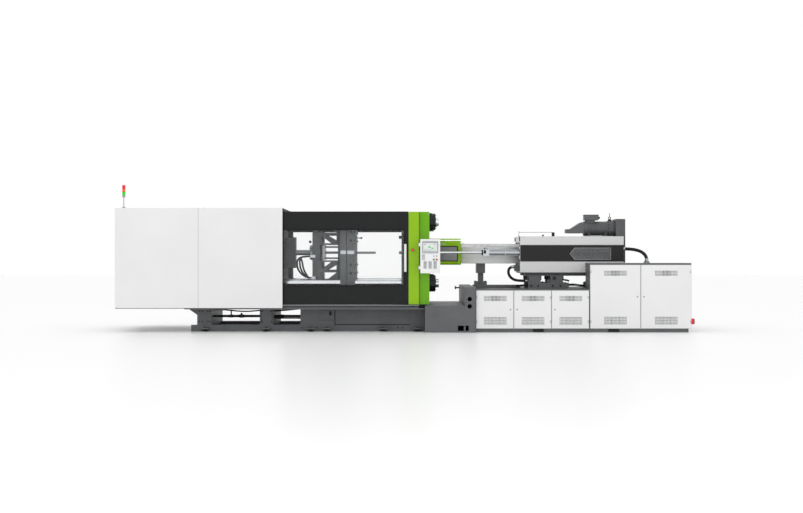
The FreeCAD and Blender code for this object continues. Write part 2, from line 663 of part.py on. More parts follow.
def tail_platen():
    """Tail platen with bores for the bars and clamp rods, and long lugs for the rear links."""
    body = padded("tail_plate", "YZ", (TAIL_BACK, TAIL_FACE), platen_square())
    pocketed(body, "tail_bar_holes", "YZ", (TAIL_BACK, TAIL_FACE + " + 1"), circles=bar_holes("0"))
    pocketed(body, "tail_rod_holes", "YZ", (TAIL_BACK, TAIL_FACE + " + 1"), circles=[
        ("0", "axis_height + clamp_rod_offset", "clamp_rod + 20"),
        ("0", "axis_height - clamp_rod_offset", "clamp_rod + 20")])
    parts = [body] + feet("tail", (TAIL_BACK, TAIL_FACE))
    inner = ("drive_layer", REAR_LAYER + " - layer_gap / 2")
    outer = (REAR_LAYER + " + link_thick + layer_gap / 2", REAR_LAYER + " + link_thick + lug_thick")
    for side, sign in SIDES:
        for i, (near, far) in enumerate((inner, outer)):
            place = beside(sign, near, far)
            for level in ("+", "-"):
                z = "axis_height %s pin_height" % level
                name = "tail_lug_%s_%d_%s" % (side, i, "up" if level == "+" else "down")
                parts.append(rod(name + "_eye", "y", place, "link_eye", (TAIL_PIN, z)))
                parts.append(box(name + "_root", (TAIL_FACE + " - 1", TAIL_PIN), place,
                                 (z + " - link_eye / 2", z + " + link_eye / 2")))
    holes, pins = toggle_pins("tail", TAIL_PIN, "drive_layer", outer[1])
    casting = fuse("tail_casting", *parts)
    return subpart("tail_platen",
                   group("tail_platen_with_pins", cut("tail_bored", casting, *holes), *pins))


def tie_bars():
    bars = four_rods("tie_bar", ("-bar_rear_end", "bar_front_end"), "bar_diameter",
                     BAR_AT, BAR_AT)
    return subpart("tie_bars", group("bars", *bars))


def tie_bar_nuts():
    """Split nuts on both ends of the tie bars."""
    nuts = []
    for end, place in (("front", ("fixed_thickness", "fixed_thickness + nut_length")),
                       ("rear", (TAIL_BACK + " - nut_length", TAIL_BACK))):
        rings = four_rods(end + "_nut_ring", place, "nut_diameter", BAR_AT, BAR_AT)
        bores = four_rods(end + "_nut_bore", (place[0] + " - 1", place[1] + " + 1"), "bar_diameter",
                          BAR_AT, BAR_AT)
        pairs = enumerate(zip(rings, bores))
        nuts += [cut("%s_nut_%d" % (end, i), ring, bore) for i, (ring, bore) in pairs]
    return subpart("tie_bar_nuts", group("nuts", *nuts))


# ---------------------------------------------------------------- toggle drive
def link_plate(name, length, eye, bores, layer):
    """One link plate along +X from its first pin; bores are the two bore diameters."""
    ends = [rod(name + "_eye_a", "y", layer, eye, ("0", "0")),
            rod(name + "_eye_b", "y", layer, eye, (length, "0"))]
    bar = box(name + "_bar", ("0", length), layer, ("-(%s) * 0.42" % eye, "(%s) * 0.42" % eye))
    plate = fuse(name + "_plate", bar, *ends)
    tools = [
        rod("%s_bore_%d" % (name, i), "y", (layer[0] + " - 1", layer[1] + " + 1"), bore, (x, "0"))
        for i, (x, bore) in enumerate(zip(("0", length), bores)) if bore
    ]
    return cut(name + "_bored", plate, *tools)


def placed(thing, x, z, angle):
    """Put a part built at the origin at (x, z), turned about Y."""
    thing.Placement = Placement(Vector(), Rotation(Vector(0, 1, 0), 1))
    return bind(thing, Placement__Base__x=x, Placement__Base__z=z, Placement__Rotation__Angle=angle)


def front_links(label, level):
    """Front links: hinged on the moving platen, reaching back to the knee, with knee pins."""
    plates = []
    for side, sign in SIDES:
        layer = beside(sign, FRONT_LAYER, FRONT_LAYER + " + link_thick")
        name = "%s_%s" % (label, side)
        plates.append(link_plate(name, "front_link", "link_eye",
                                 ("pin_diameter + slide_fit * 2", "pin_diameter"), layer))
        plates.append(rod(name + "_knee_pin", "y", layer, "pin_diameter", ("front_link", "0")))
    whole = placed(group(label + "_pair", *plates), FRONT_PIN, "axis_height %s pin_height" % level, "180")
    return subpart(label, whole)


def rear_links(label, level):
    """Rear links: hinged on the tail platen, with a drive eye below the knee."""
    drop = "drive_drop" if level == "+" else "-drive_drop"
    plates = []
    for side, sign in SIDES:
        layer = beside(sign, REAR_LAYER, REAR_LAYER + " + link_thick")
        name = "%s_%s" % (label, side)
        plate = link_plate(name, "rear_link", "link_eye", ("pin_diameter + slide_fit * 2", None), layer)
        eye = rod(name + "_drive_eye", "y", layer, "drive_eye", ("rear_link", "-(%s)" % drop))
        low, high = ("-drive_drop", "0") if level == "+" else ("0", "drive_drop")
        web = box(name + "_drive_web", ("rear_link - drive_eye / 2", "rear_link + drive_eye / 2"), layer,
                  (low, high))
        plates.append(fuse(name + "_whole", plate, eye, web))
    whole = placed(group(label + "_pair", *plates), TAIL_PIN, "axis_height %s pin_height" % level, "0")
    return subpart(label, whole)


DRIVE_RUN = "crosshead_offset - front_link"
DRIVE_RISE = "pin_height - drive_drop - crosshead_pin_height"
DRIVE_LENGTH = "sqrt((%s) ^ 2 + (%s) ^ 2)" % (DRIVE_RUN, DRIVE_RISE)


def drive_links(label, level):
    """Short links from the crosshead's pins to the rear links."""
    plates = []
    for side, sign in SIDES:
        layer = beside(sign, "drive_layer", "drive_layer + drive_thick")
        plates.append(link_plate("%s_%s" % (label, side), DRIVE_LENGTH, "drive_eye",
                                 ("drive_pin + slide_fit * 2", None), layer))
    angle = "%s1 * atan2(%s; %s)" % ("-" if level == "+" else "", DRIVE_RISE, DRIVE_RUN)
    whole = placed(group(label + "_pair", *plates), CROSS_PIN,
                   "axis_height %s crosshead_pin_height" % level, angle)
    return subpart(label, whole)


def crosshead():
    """Crosshead with a bore for the ejector, its pins, and the two clamp rods with pistons."""
    half = "crosshead_width / 2"
    front = CROSS_PIN + " + crosshead_front"
    back = front + " - crosshead_length"
    block = box("crosshead_block", (back, front), ("-(%s)" % half, half),
                ("axis_height - crosshead_height / 2", "axis_height + crosshead_height / 2"))
    bore = rod("crosshead_bore_hole", "x", (back + " - 1", front + " + 1"), "crosshead_bore",
               ("0", "axis_height"))
    pins = [
        rod("drive_pin_" + name, "y", ("-drive_layer - drive_thick - 2", "drive_layer + drive_thick + 2"),
            "drive_pin", (CROSS_PIN, "axis_height %s crosshead_pin_height" % level))
        for name, level in (("up", "+"), ("down", "-"))
    ]
    rods = []
    piston_front = TAIL_BACK + " - clamp_wall - 5"
    for name, level in (("up", "+"), ("down", "-")):
        z = "axis_height %s clamp_rod_offset" % level
        shaft = rod("clamp_shaft_" + name, "x", (piston_front + " - piston_length", back), "clamp_rod",
                    ("0", z))
        piston = rod("clamp_piston_" + name, "x", (piston_front + " - piston_length", piston_front),
                     "clamp_bore - free_gap * 2", ("0", z))
        rods.append(fuse("clamp_rod_" + name, shaft, piston))
    body = fuse("crosshead_casting", cut("crosshead_bored", block, bore), *pins)
    return subpart("crosshead", group("crosshead_with_rods", body, *rods))


def clamp_cylinders():
    """Two clamp cylinders behind the tail platen."""
    cans = []
    for name, level in (("up", "+"), ("down", "-")):
        z = "axis_height %s clamp_rod_offset" % level
        outside = rod("clamp_can_" + name, "x", (TAIL_BACK + " - clamp_length", TAIL_BACK),
                      "clamp_outside", ("0", z))
        bore = rod("clamp_bore_" + name, "x",
                   (TAIL_BACK + " - clamp_length + clamp_wall", TAIL_BACK + " - clamp_wall"),
                   "clamp_bore", ("0", z))
        gland = rod("clamp_gland_" + name, "x", (TAIL_BACK + " - clamp_wall - 1", TAIL_BACK + " + 1"),
                    "clamp_rod + free_gap * 2", ("0", z))
        cans.append(cut("clamp_cylinder_" + name, outside, bore, gland))
    return subpart("clamp_cylinders", group("cylinders", *cans))


# ---------------------------------------------------------------- ejector
EJECTOR_PLATE_AT = REAR_PLATE + " + 30"


def ejector():
    """Ejector cylinder with its flange and guide bars, the ejector plate and its rods."""
    far = MOVING_BACK + " - ejector_flange_thick"
    can = fuse("ejector_can",
               rod("ejector_barrel", "x", (far + " - ejector_length", MOVING_BACK), "ejector_diameter",
                   ("0", "axis_height")),
               rod("ejector_flange_disc", "x", (far, MOVING_BACK), "ejector_flange",
                   ("0", "axis_height")))
    bore = rod("ejector_bore", "x", (far + " - ejector_length + 20", MOVING_BACK + " + 1"),
               "ejector_rod + free_gap * 2", ("0", "axis_height"))
    bars = [rod("guide_bar_%d" % i, "x", (REAR_PLATE, NECK), "guide_bar",
                (y + "150", "axis_height %s 95" % (z or "+"))) for i, (y, z) in enumerate(CORNERS)]
    subpart("ejector_cylinder", group("ejector_fixed", cut("ejector_bored", can, bore), *bars))
    plate = box("ejector_plate_block", (EJECTOR_PLATE_AT, EJECTOR_PLATE_AT + " + ejector_plate_thick"),
                ("-ejector_plate_width / 2", "ejector_plate_width / 2"),
                ("axis_height - core_height / 2 + 6", "axis_height + core_height / 2 - 6"))
    holes = [
        rod("plate_hole_%d" % i, "x", (EJECTOR_PLATE_AT + " - 1",
                                       EJECTOR_PLATE_AT + " + ejector_plate_thick + 1"),
            "guide_bar + free_gap * 2", (y + "150", "axis_height %s 95" % (z or "+")))
        for i, (y, z) in enumerate(CORNERS)
    ]
    shaft = rod("ejector_shaft", "x", (far + " - ejector_length + 40", MOULD_FACE + " + ejector_reach"),
                "ejector_rod", ("0", "axis_height"))
    return subpart("ejector", fuse("ejector_plate_and_rod", cut("ejector_plate", plate, *holes), shaft))



# ---------------------------------------------------------------- covers, gates and signals
COVER_SKIN = "cover_half - sheet"


def cover_frame():
    """Square-tube frame that carries the clamp covers, and the rails that carry the gates."""
    parts = []
    left = "-cover_left + sheet"
    uprights = (left, "-cover_seam - tube / 2", "-cover_right - tube * 2")
    top = ("axis_height + cover_rise - sheet - tube", "axis_height + cover_rise - sheet")
    for side, sign in SIDES:
        lane = beside(sign, COVER_SKIN + " - tube", COVER_SKIN)
        run = (left, "-cover_right - tube")
        parts.append(box(side + "_bottom_tube", run, lane, ("shelf_height", "shelf_height + tube")))
        parts.append(box(side + "_top_tube", run, lane, top))
        for i, x in enumerate(uprights):
            parts.append(box("%s_upright_%d" % (side, i), (x, x + " + tube"), lane,
                             ("shelf_height", top[1])))
        floor_rail = beside(sign, "gate_inner", "gate_inner + gate_thick")
        parts.append(box(side + "_floor_rail", ("-base_left - base_nose", "gate_rail_right"), floor_rail,
                         ("shelf_height", "shelf_height + tube")))
        hanging = beside(sign, "gate_inner - 37", "gate_inner - 4")
        parts.append(box(side + "_gate_rail", ("-gate_rail_left", "gate_rail_right"), hanging,
                         ("axis_height + gate_rise - 69", "axis_height + gate_rise - 29")))
        for i, x in enumerate(uprights[1:]):
            parts.append(box("%s_hanger_%d" % (side, i), (x, x + " + tube"),
                             beside(sign, "gate_inner - 49", "gate_inner - 37"),
                             ("axis_height + gate_rise - 69", top[1])))
        arm = beside(sign, "platen_size / 2", "gate_inner - 37")
        parts.append(box(side + "_platen_arm", ("150", "190"), arm,
                         ("axis_height + gate_rise - 69", "axis_height + gate_rise - 39")))
        parts.append(box(side + "_platen_pad", ("140", "200"),
                         beside(sign, "platen_size / 2", "platen_size / 2 + 12"),
                         ("axis_height + gate_rise - 160", "axis_height + gate_rise - 39")))
    inside = COVER_SKIN + " - tube"
    width = ("-(%s)" % inside, inside)
    for i, x in enumerate(uprights):
        parts.append(box("roof_tube_%d" % i, (x, x + " + tube"), width, top))
    parts.append(box("end_sill", (left, left + " + tube"), width,
                     ("shelf_height", "shelf_height + tube")))
    return subpart("cover_frame", fuse("frame_tubes", *parts))


def clamp_covers():
    """White sheet covers: two on each side, an end sheet and two roof sheets."""
    spans = (("left", "-cover_left + sheet", "-cover_seam - seam_gap / 2"),
             ("right", "-cover_seam + seam_gap / 2", "-cover_right"))
    sheets = []
    height = ("cover_bottom", "axis_height + cover_rise")
    for name, low, high in spans:
        for side, sign in SIDES:
            skin = box("%s_%s_skin" % (side, name), (low, high), beside(sign, COVER_SKIN, "cover_half"),
                       height)
            lip = box("%s_%s_lip" % (side, name), (low, high),
                      beside(sign, COVER_SKIN + " - 18", "cover_half"),
                      ("axis_height + cover_rise - sheet", "axis_height + cover_rise"))
            sheets.append(fuse("%s_%s_cover" % (side, name), skin, lip))
        sheets.append(box(name + "_roof", (low, high),
                          ("-(%s) + 18.5" % COVER_SKIN, COVER_SKIN + " - 18.5"),
                          ("axis_height + cover_rise - sheet", "axis_height + cover_rise")))
    sheets.append(box("end_sheet", ("-cover_left", "-cover_left + sheet"), ("-cover_half", "cover_half"),
                      height))
    return subpart("clamp_covers", group("cover_sheets", *sheets))


def gate(label, sign):
    """Sliding safety gate: a framed sheet with a window opening and hanging shoes."""
    ends = beside(sign, "gate_inner", "gate_inner + gate_thick")
    body = padded(label + "_leaf", "XZ", ends,
                  rectangle(("-gate_left", "gate_right"), ("gate_bottom", "axis_height + gate_rise")))
    pocketed(body, label + "_window_opening", "XZ", (ends[0] + " - 1", ends[1] + " + 1"),
             outlines=[rectangle(("-window_left", "window_right"),
                                 ("axis_height - window_drop", "axis_height + window_rise"))])
    shoes = []
    for i, share in enumerate(("0.1", "0.9")):
        middle = "-gate_left + (gate_left + gate_right) * " + share
        hook = beside(sign, "gate_inner - 37", "gate_inner")
        shoes.append(box("%s_shoe_%d" % (label, i), (middle + " - 60", middle + " + 60"), hook,
                         ("axis_height + gate_rise - 29 + free_gap", "axis_height + gate_rise - 4")))
    return [body] + shoes


def gates():
    """Front gate with its handle and window pane, and the rear gate with its pane set in."""
    subpart("front_gate", fuse("front_gate_whole", *gate("front_leaf", "-"), *gate_handle()))
    centre = "gate_inner + gate_thick / 2"
    pane = box("rear_pane", ("-window_left - 5", "window_right + 5"),
               (centre + " - pane_thick / 2", centre + " + pane_thick / 2"),
               ("axis_height - window_drop - 5", "axis_height + window_rise + 5"))
    subpart("rear_gate", fuse("rear_gate_whole", pane, *gate("rear_leaf", "")))
    subpart("gate_window", box("front_pane", ("-window_left", "window_right"),
                               ("-(%s) - pane_thick / 2" % centre, "-(%s) + pane_thick / 2" % centre),
                               ("axis_height - window_drop", "axis_height + window_rise")))


def gate_handle():
    """Upright bar handle on two legs."""
    face = "gate_inner + gate_thick"
    grip = ("-(%s) - 58" % face, "-(%s) - 40" % face)
    bar = box("handle_bar", ("handle_at - handle_width / 2", "handle_at + handle_width / 2"), grip,
              ("handle_bottom", "handle_top"))
    legs = [box("handle_leg_%d" % i, ("handle_at - 10", "handle_at + 10"), (grip[1], "-(%s)" % face),
                span) for i,
            span in enumerate((("handle_bottom", "handle_bottom + 36"),
                               ("handle_top - 36", "handle_top")))]
    return [bar] + legs


STOP_SPOT = ("(green_left + green_right) / 2 - 16", "1340")


def platen_covers():
    """Light green covers wrapped round the fixed platen's sides, and dark green nut covers."""
    light, dark = [], []
    for side, sign in SIDES:
        reach = beside(sign, "nut_cover_half + 2", "green_half")
        light.append(box(side + "_light_face", ("green_left", "green_right"), reach,
                         ("green_bottom", "axis_height + green_rise")))
        inner = "platen_size / 2 + 13"
        dark.append(box(side + "_dark_face", ("green_right + seam_gap", "nut_cover_right"),
                        beside(sign, inner, "nut_cover_half"),
                        ("green_bottom", "axis_height + green_rise")))
        back = beside(sign, inner, "nut_cover_half + 2")
        light.append(box(side + "_light_return", ("green_right - 40", "green_right"), back,
                         ("green_bottom", "axis_height + gate_rise - 170")))
        dark.append(box(side + "_dark_foot", ("green_right + 20", "nut_cover_right - 78"),
                        beside(sign, "nut_cover_half - 60", "nut_cover_half - 20"),
                        ("shelf_height", "green_bottom")))
        light.append(box(side + "_light_foot", ("green_left + 60", "green_right - 60"),
                         beside(sign, "green_half - 35", "green_half - 5"),
                         ("shelf_height + tube", "green_bottom")))
    pairs = [fuse(side + "_light_cover", *[p for p in light if p.Name.startswith(side)]) for side,
             sign in SIDES]
    stop_bore = rod("stop_bore", "y", ("-green_half - 1", "-green_half + 24"),
                    "stop_diameter * 0.55 + free_gap * 2", STOP_SPOT)
    pairs[0] = cut("front_light_cover_bored", pairs[0], stop_bore)
    subpart("platen_covers", group("light_covers", *pairs))
    pairs = [fuse(side + "_dark_cover", *[p for p in dark if p.Name.startswith(side)]) for side,
             sign in SIDES]
    subpart("nut_covers", group("dark_covers", *pairs))


def signal_tower():
    """Flange, pole and cup of the signal tower, and its stack of three lenses."""
    spot = ("-tower_at", "-cover_half + 90")
    base = "axis_height + cover_rise"
    flange = rod("tower_flange", "z", (base, base + " + 26"), "tower_diameter * 1.2", spot)
    pole = rod("tower_pole", "z", (base, base + " + 176"), "16", spot)
    cup = rod("tower_cup", "z", (base + " + 176", base + " + 208"), "tower_diameter", spot)
    stand = fuse("tower_stand", flange, pole, cup)
    lenses = [
        rod("lens_%d" % i, "z", (base + " + 208 + lens_height * %d" % i,
                                 base + " + 207 + lens_height * %d" % (i + 1)),
            "tower_diameter * 0.94", spot)
        for i in range(3)
    ]
    cores = [
        rod("lens_core_%d" % i, "z",
            (base + " + 207 + lens_height * %d" % (i + 1), base + " + 208 + lens_height * %d" % (i + 1)),
            "tower_diameter * 0.6", spot)
        for i in range(2)
    ]
    subpart("signal_tower", group("tower", stand, fuse("lens_stack", *lenses, *cores)))


def emergency_stop():
    """Mushroom button on the light green cover, with its stem."""
    spot, face = STOP_SPOT, "green_half"
    cap = rod("stop_cap", "y", ("-%s - 34" % face, "-%s - 14" % face), "stop_diameter", spot)
    stem = rod("stop_stem", "y", ("-%s - 14" % face, "-%s - 0.3" % face), "stop_diameter * 0.55", spot)
    subpart("e_stop", fuse("stop_button", cap, stem))


PANEL_RIGHT = "panel_left + panel_width"
PANEL_TOP = "panel_bottom + panel_height"
PANEL_HINGE = ("panel_left - 12", "-panel_front + panel_thick / 2")
BUTTON_ROW = "panel_bottom + panel_height * 0.4"


def control_panel():
    """Panel housing with its screen recess and button bores, arms with hinge pins, two buttons."""
    back = "-panel_front + panel_thick"
    shell = box("panel_block", ("panel_left", PANEL_RIGHT), ("-panel_front", back),
                ("panel_bottom", PANEL_TOP))
    recess = box("screen_recess", ("panel_left + panel_width * 0.11", "panel_left + panel_width * 0.9"),
                 ("-panel_front - 1", "-panel_front + 6"),
                 ("panel_bottom + panel_height * 0.59", "panel_bottom + panel_height * 0.94"))
    bores, buttons = [], []
    for i, share in enumerate(("0.68", "0.83")):
        spot = ("panel_left + panel_width * " + share, BUTTON_ROW)
        bores.append(rod("button_bore_%d" % i, "y", ("-panel_front - 1", "-panel_front + 20"),
                         "button_diameter + free_gap * 2", spot))
        buttons.append(rod("button_%d" % i, "y", ("-panel_front - 9", "-panel_front + 12"),
                           "button_diameter", spot))
    levels = ("panel_bottom + panel_height * 0.16", "panel_bottom + panel_height * 0.84")
    knuckles, arms = [], []
    for i, level in enumerate(levels):
        low, high = level + " - 25", level + " + 25"
        knuckles.append(rod("panel_knuckle_%d" % i, "z", (low, high), "34", PANEL_HINGE))
        knuckles.append(box("panel_strap_%d" % i, (PANEL_HINGE[0], "panel_left + 10"),
                            (PANEL_HINGE[1] + " - 8", PANEL_HINGE[1] + " + 8"), (low, high)))
        bores.append(rod("knuckle_bore_%d" % i, "z", (low + " - 1", high + " + 1"), "16 + slide_fit * 2",
                         PANEL_HINGE))
        arms.append(rod("panel_pin_%d" % i, "z", (low + " - 14", high + " + 14"), "16", PANEL_HINGE))
        for j, span in enumerate(((low + " - 14", low + " - 0.5"), (high + " + 0.5", high + " + 14"))):
            arms.append(rod("panel_ear_%d_%d" % (i, j), "z", span, "22", PANEL_HINGE))
            arms.append(box("panel_ear_arm_%d_%d" % (i, j),
                            (PANEL_HINGE[0] + " - 3", PANEL_HINGE[0] + " + 8"),
                            (PANEL_HINGE[1], "-nut_cover_half"), span))
    panel = cut("panel_bored", fuse("panel_shell", cut("panel_recessed", shell, recess), *knuckles),
                *bores)
    subpart("panel_housing", panel)
    pairs = [fuse("panel_arm_%d" % i, *arms[i * 5:i * 5 + 5]) for i in range(2)]
    subpart("panel_arms", group("arm_pair", *pairs))
    subpart("start_button", buttons[0])
    subpart("stop_button", buttons[1])



# ---------------------------------------------------------------- injection base and cabinets
FLOOR_PLATE = "8"
DIVIDER = "door_pitch - door_small"
RAIL_BOTTOM = "deck_top + bed_height + shoe_height + free_gap"
RAIL_TOP = "deck_top + bed_height + shoe_height + rail_beam"


def shell_box(name, x, y, z, wall, open_faces=()):
    """A hollow box; open_faces name the sides left open, such as 'x0' or 'z0'."""
    inside = []
    for letter, (low, high) in zip("xyz", (x, y, z)):
        low_in = low + " - 1" if letter + "0" in open_faces else "%s + %s" % (low, wall)
        high_in = high + " + 1" if letter + "1" in open_faces else "%s - %s" % (high, wall)
        inside.append((low_in, high_in))
    return cut(name, box(name + "_outside", x, y, z), box(name + "_inside", *inside))


def injection_base():
    """Welded base: low block, end block, plinth, floor, deck, dividers and rear panels."""
    low = shell_box("low_block", ("block_left", "block_end_left"), ("-block_half", "block_half"),
                    ("0", "block_low"),
                    "plate_thick * 0.75", ("z0",))
    end = shell_box("end_block", ("block_end_left", "block_end_right"), ("-block_half", "block_half"),
                    ("0", "block_high"), "plate_thick * 0.75", ("z0",))
    middle = "(block_end_left + block_end_right) / 2 - 10"
    tools = [
        rod("end_hole_%d" % i, "y", ("-block_half - 1", "-block_half + plate_thick"), "65", (middle, z))
        for i, z in enumerate(("543", "426"))
    ]
    tools.append(box("lifting_pocket", ("block_end_left - 112", "block_end_left + 64"),
                     ("-block_half - 1", "-block_half + plate_thick"), ("27", "112")))
    blocks = cut("blocks_cut", fuse("blocks", low, end), *tools)
    left, right, half = "block_end_right", "deck_right", "deck_half"
    rear_of_cabinet = "-deck_half + cabinet_depth"
    plinth = shell_box("plinth_ring", (left, right + " - 42"), ("-deck_half + 15", "deck_half - 15"),
                       ("0", "plinth"),
                       "60", ("z0", "z1"))
    floor = box("floor_plate", (left, right), ("-deck_half + door_thick", half),
                ("plinth", "plinth + " + FLOOR_PLATE))
    parts = [blocks, plinth, floor]
    deck = ("deck_top - deck_thick", "deck_top")
    parts.append(box("deck_front", (left, "cabinet_left"), ("-deck_half + door_thick", half), deck))
    parts.append(box("deck_rear", ("cabinet_left - 1", right), (rear_of_cabinet, half), deck))
    upright = ("plinth", "deck_top - deck_thick + 1")
    for i in range(4):
        at = "door_left + door_pitch * %d" % i
        parts.append(box("divider_%d" % i, ("%s - (%s)" % (at, DIVIDER), at),
                         ("-deck_half + door_thick + free_gap", rear_of_cabinet + " - 20"), upright))
    parts.append(box("rear_panel", (left, right), (half + " - sheet", half), upright))
    parts.append(box("right_panel", (right + " - sheet", right), (rear_of_cabinet, half), upright))
    parts.append(box("lip", (left, "cabinet_left"), ("-deck_half", "-deck_half + door_thick"),
                     ("door_top + 3", "deck_top")))
    pads = box("support_pad", ("door_left", "door_left + 800"), ("-140", "140"),
               ("deck_top", "deck_top + 52"))
    return subpart("injection_base", fuse("injection_weldment", *parts, pads))


def drive_cabinet():
    """Drive cabinet shell with its dark roof, the mounting plate and the motor drives in it."""
    x = ("cabinet_left", "deck_right")
    y = ("-deck_half + door_thick + free_gap", "-deck_half + cabinet_depth - free_gap")
    shell = shell_box("cabinet_shell", x, y, ("plinth + " + FLOOR_PLATE, "cabinet_top"), "sheet", ("y0",))
    roof = box("cabinet_roof", (x[0] + " - 6", x[1]), ("-deck_half", y[1]),
               ("cabinet_top", "cabinet_top + roof_thick"))
    gland = rod("cable_gland", "z", ("cabinet_top + roof_thick", "cabinet_top + roof_thick + 24"), "84",
                ("4074", "-546"))
    knob = rod("main_switch", "x", ("deck_right", "deck_right + isolator_reach"), "isolator_diameter",
               ("-deck_half + isolator_diameter * 0.75", "isolator_height"))
    plate = box("mounting_plate", (x[0] + " + 60", x[1] + " - 60"),
                (y[1] + " - sheet * 3", y[1] + " - sheet"), ("plinth + 80", "cabinet_top - 60"))
    drives = [
        box("motor_drive_%d" % i,
            ("cabinet_left + 110 + 360 * %d" % i, "cabinet_left + 370 + 360 * %d" % i),
            (y[1] + " - sheet * 3 - 210", y[1] + " - sheet * 3"), ("plinth + 330", "plinth + 830"))
        for i in range(4)
    ]
    cabinet = fuse("cabinet", shell, roof, gland, knob)
    return subpart("drive_cabinet", group("cabinet_with_drives", cabinet, plate, *drives))


def door(label, left, width, top, vent_left, vent_width, slots, levels):
    """Folded sheet door with an upper and a lower row of vent slots."""
    back = "-deck_half + door_thick"
    body = padded(label + "_pan", "XZ", ("-deck_half", back),
                  rectangle((left, "%s + %s" % (left, width)), ("plinth + 1", top)))
    pocketed(body, label + "_hollow", "XZ", ("-deck_half + sheet", back + " + 1"), outlines=[
        rectangle((left + " + sheet", "%s + %s - sheet" % (left, width)),
                  ("plinth + 1 + sheet", top + " - sheet"))])
    for row, (low, high) in zip(("upper", "lower"), levels):
        first = "%s + %s" % (left, vent_left)
        pocket = pocketed(body, "%s_%s_slot" % (label, row), "XZ",
                          ("-deck_half - 1", "-deck_half + sheet + 1"),
                          outlines=[rectangle((first, first + " + slot_width"), (low, high))])
        pattern = body.newObject("PartDesign::LinearPattern", "%s_%s_slots" % (label, row))
        pattern.Originals = [pocket]
        pattern.Direction = (pocket.Profile[0], ["H_Axis"])
        pattern.Occurrences = slots
        bind(pattern, Length="%s - slot_width" % vent_width)
        body.Tip = pattern
        doc.recompute()
    return subpart(label, body)


def doors():
    """Three small doors and two large ones."""
    small_vents = (("door_top - 88 - upper_vent", "door_top - 88"),
                   ("plinth + 58", "plinth + 58 + lower_vent"))
    large_vents = (("cabinet_top - 95 - upper_vent", "cabinet_top - 95"),
                   ("plinth + 65", "plinth + 65 + lower_vent"))
    for i in range(3):
        door("door_%d" % (i + 1), "door_left + door_pitch * %d" % i, "door_small", "door_top",
             "127", "365", 17, small_vents)
    for i in range(2):
        door("door_%d" % (i + 4), "cabinet_left + (door_large + sheet * 2) * %d" % i, "door_large",
             "cabinet_top - 2", "229", "364", 17, large_vents)


def power_pack():
    """Oil tank behind the small cabinets, and a motor and pump set in each of them."""
    tank_left, tank_right = "door_left + 60", "door_left + door_pitch * 3 - 120"
    floor = "plinth + " + FLOOR_PLATE
    tank = box("oil_tank_block", (tank_left, tank_right),
               ("-deck_half + cabinet_depth + 60", "deck_half - 200"),
               (floor, "deck_top - deck_thick - 60"))
    sets = []
    for i in range(3):
        start = "door_left + 40 + door_pitch * %d" % i
        centre = ("-deck_half + 260", floor + " + 200")
        motor = rod("pump_motor_%d" % i, "x", (start, start + " + 330"), "250", centre)
        bell = rod("pump_bell_%d" % i, "x", (start + " + 330", start + " + 400"), "180", centre)
        pump = rod("pump_body_%d" % i, "x", (start + " + 400", start + " + 520"), "150", centre)
        foot = box("pump_foot_%d" % i, (start + " + 30", start + " + 300"),
                   ("-deck_half + 160", "-deck_half + 360"), (floor, floor + " + 120"))
        sets.append(fuse("pump_set_%d" % i, motor, bell, pump, foot))
    return subpart("power_pack", group("tank_and_pumps", tank, *sets))


def guide_shoes():
    """Beds on the deck with the shoes that the carriage's rails slide on."""
    front = (("unit_left + 145", "unit_left + 820"),
             (("unit_left + 145", "unit_left + 350"), ("unit_left + 510", "unit_left + 720")))
    back = (("unit_left + 1170", "unit_left + 1570"), (("unit_left + 1270", "unit_left + 1470"),))
    blocks = []
    for side, sign in SIDES:
        lane = beside(sign, "carriage_half - 110", "carriage_half + 10")
        foot = beside(sign, "carriage_half - 130", "carriage_half + 10")
        for i, (bed, shoes) in enumerate((front, back)):
            parts = [box("%s_bed_%d" % (side, i), bed, foot, ("deck_top", "deck_top + bed_height"))]
            for j, span in enumerate(shoes):
                parts.append(box("%s_shoe_%d_%d" % (side, i, j), span, lane,
                                 ("deck_top + bed_height", "deck_top + bed_height + shoe_height")))
            blocks.append(fuse("%s_shoes_%d" % (side, i), *parts))
    return subpart("guide_shoes", group("shoes", *blocks))


# ---------------------------------------------------------------- injection unit
PLATE_RIGHT = "carriage_left + carriage_plate"
FEED_AT = "carriage_left + carriage_plate / 2"


def feed_bolts(top):
    """Four bolt holes round the feed opening."""
    return [rod("feed_bolt_%d" % i, "z", (top + " - 40", top + " + 10"), "14",
                (FEED_AT + " %s 60" % (a or "+"), b + "60")) for i, (a, b) in enumerate(CORNERS)]


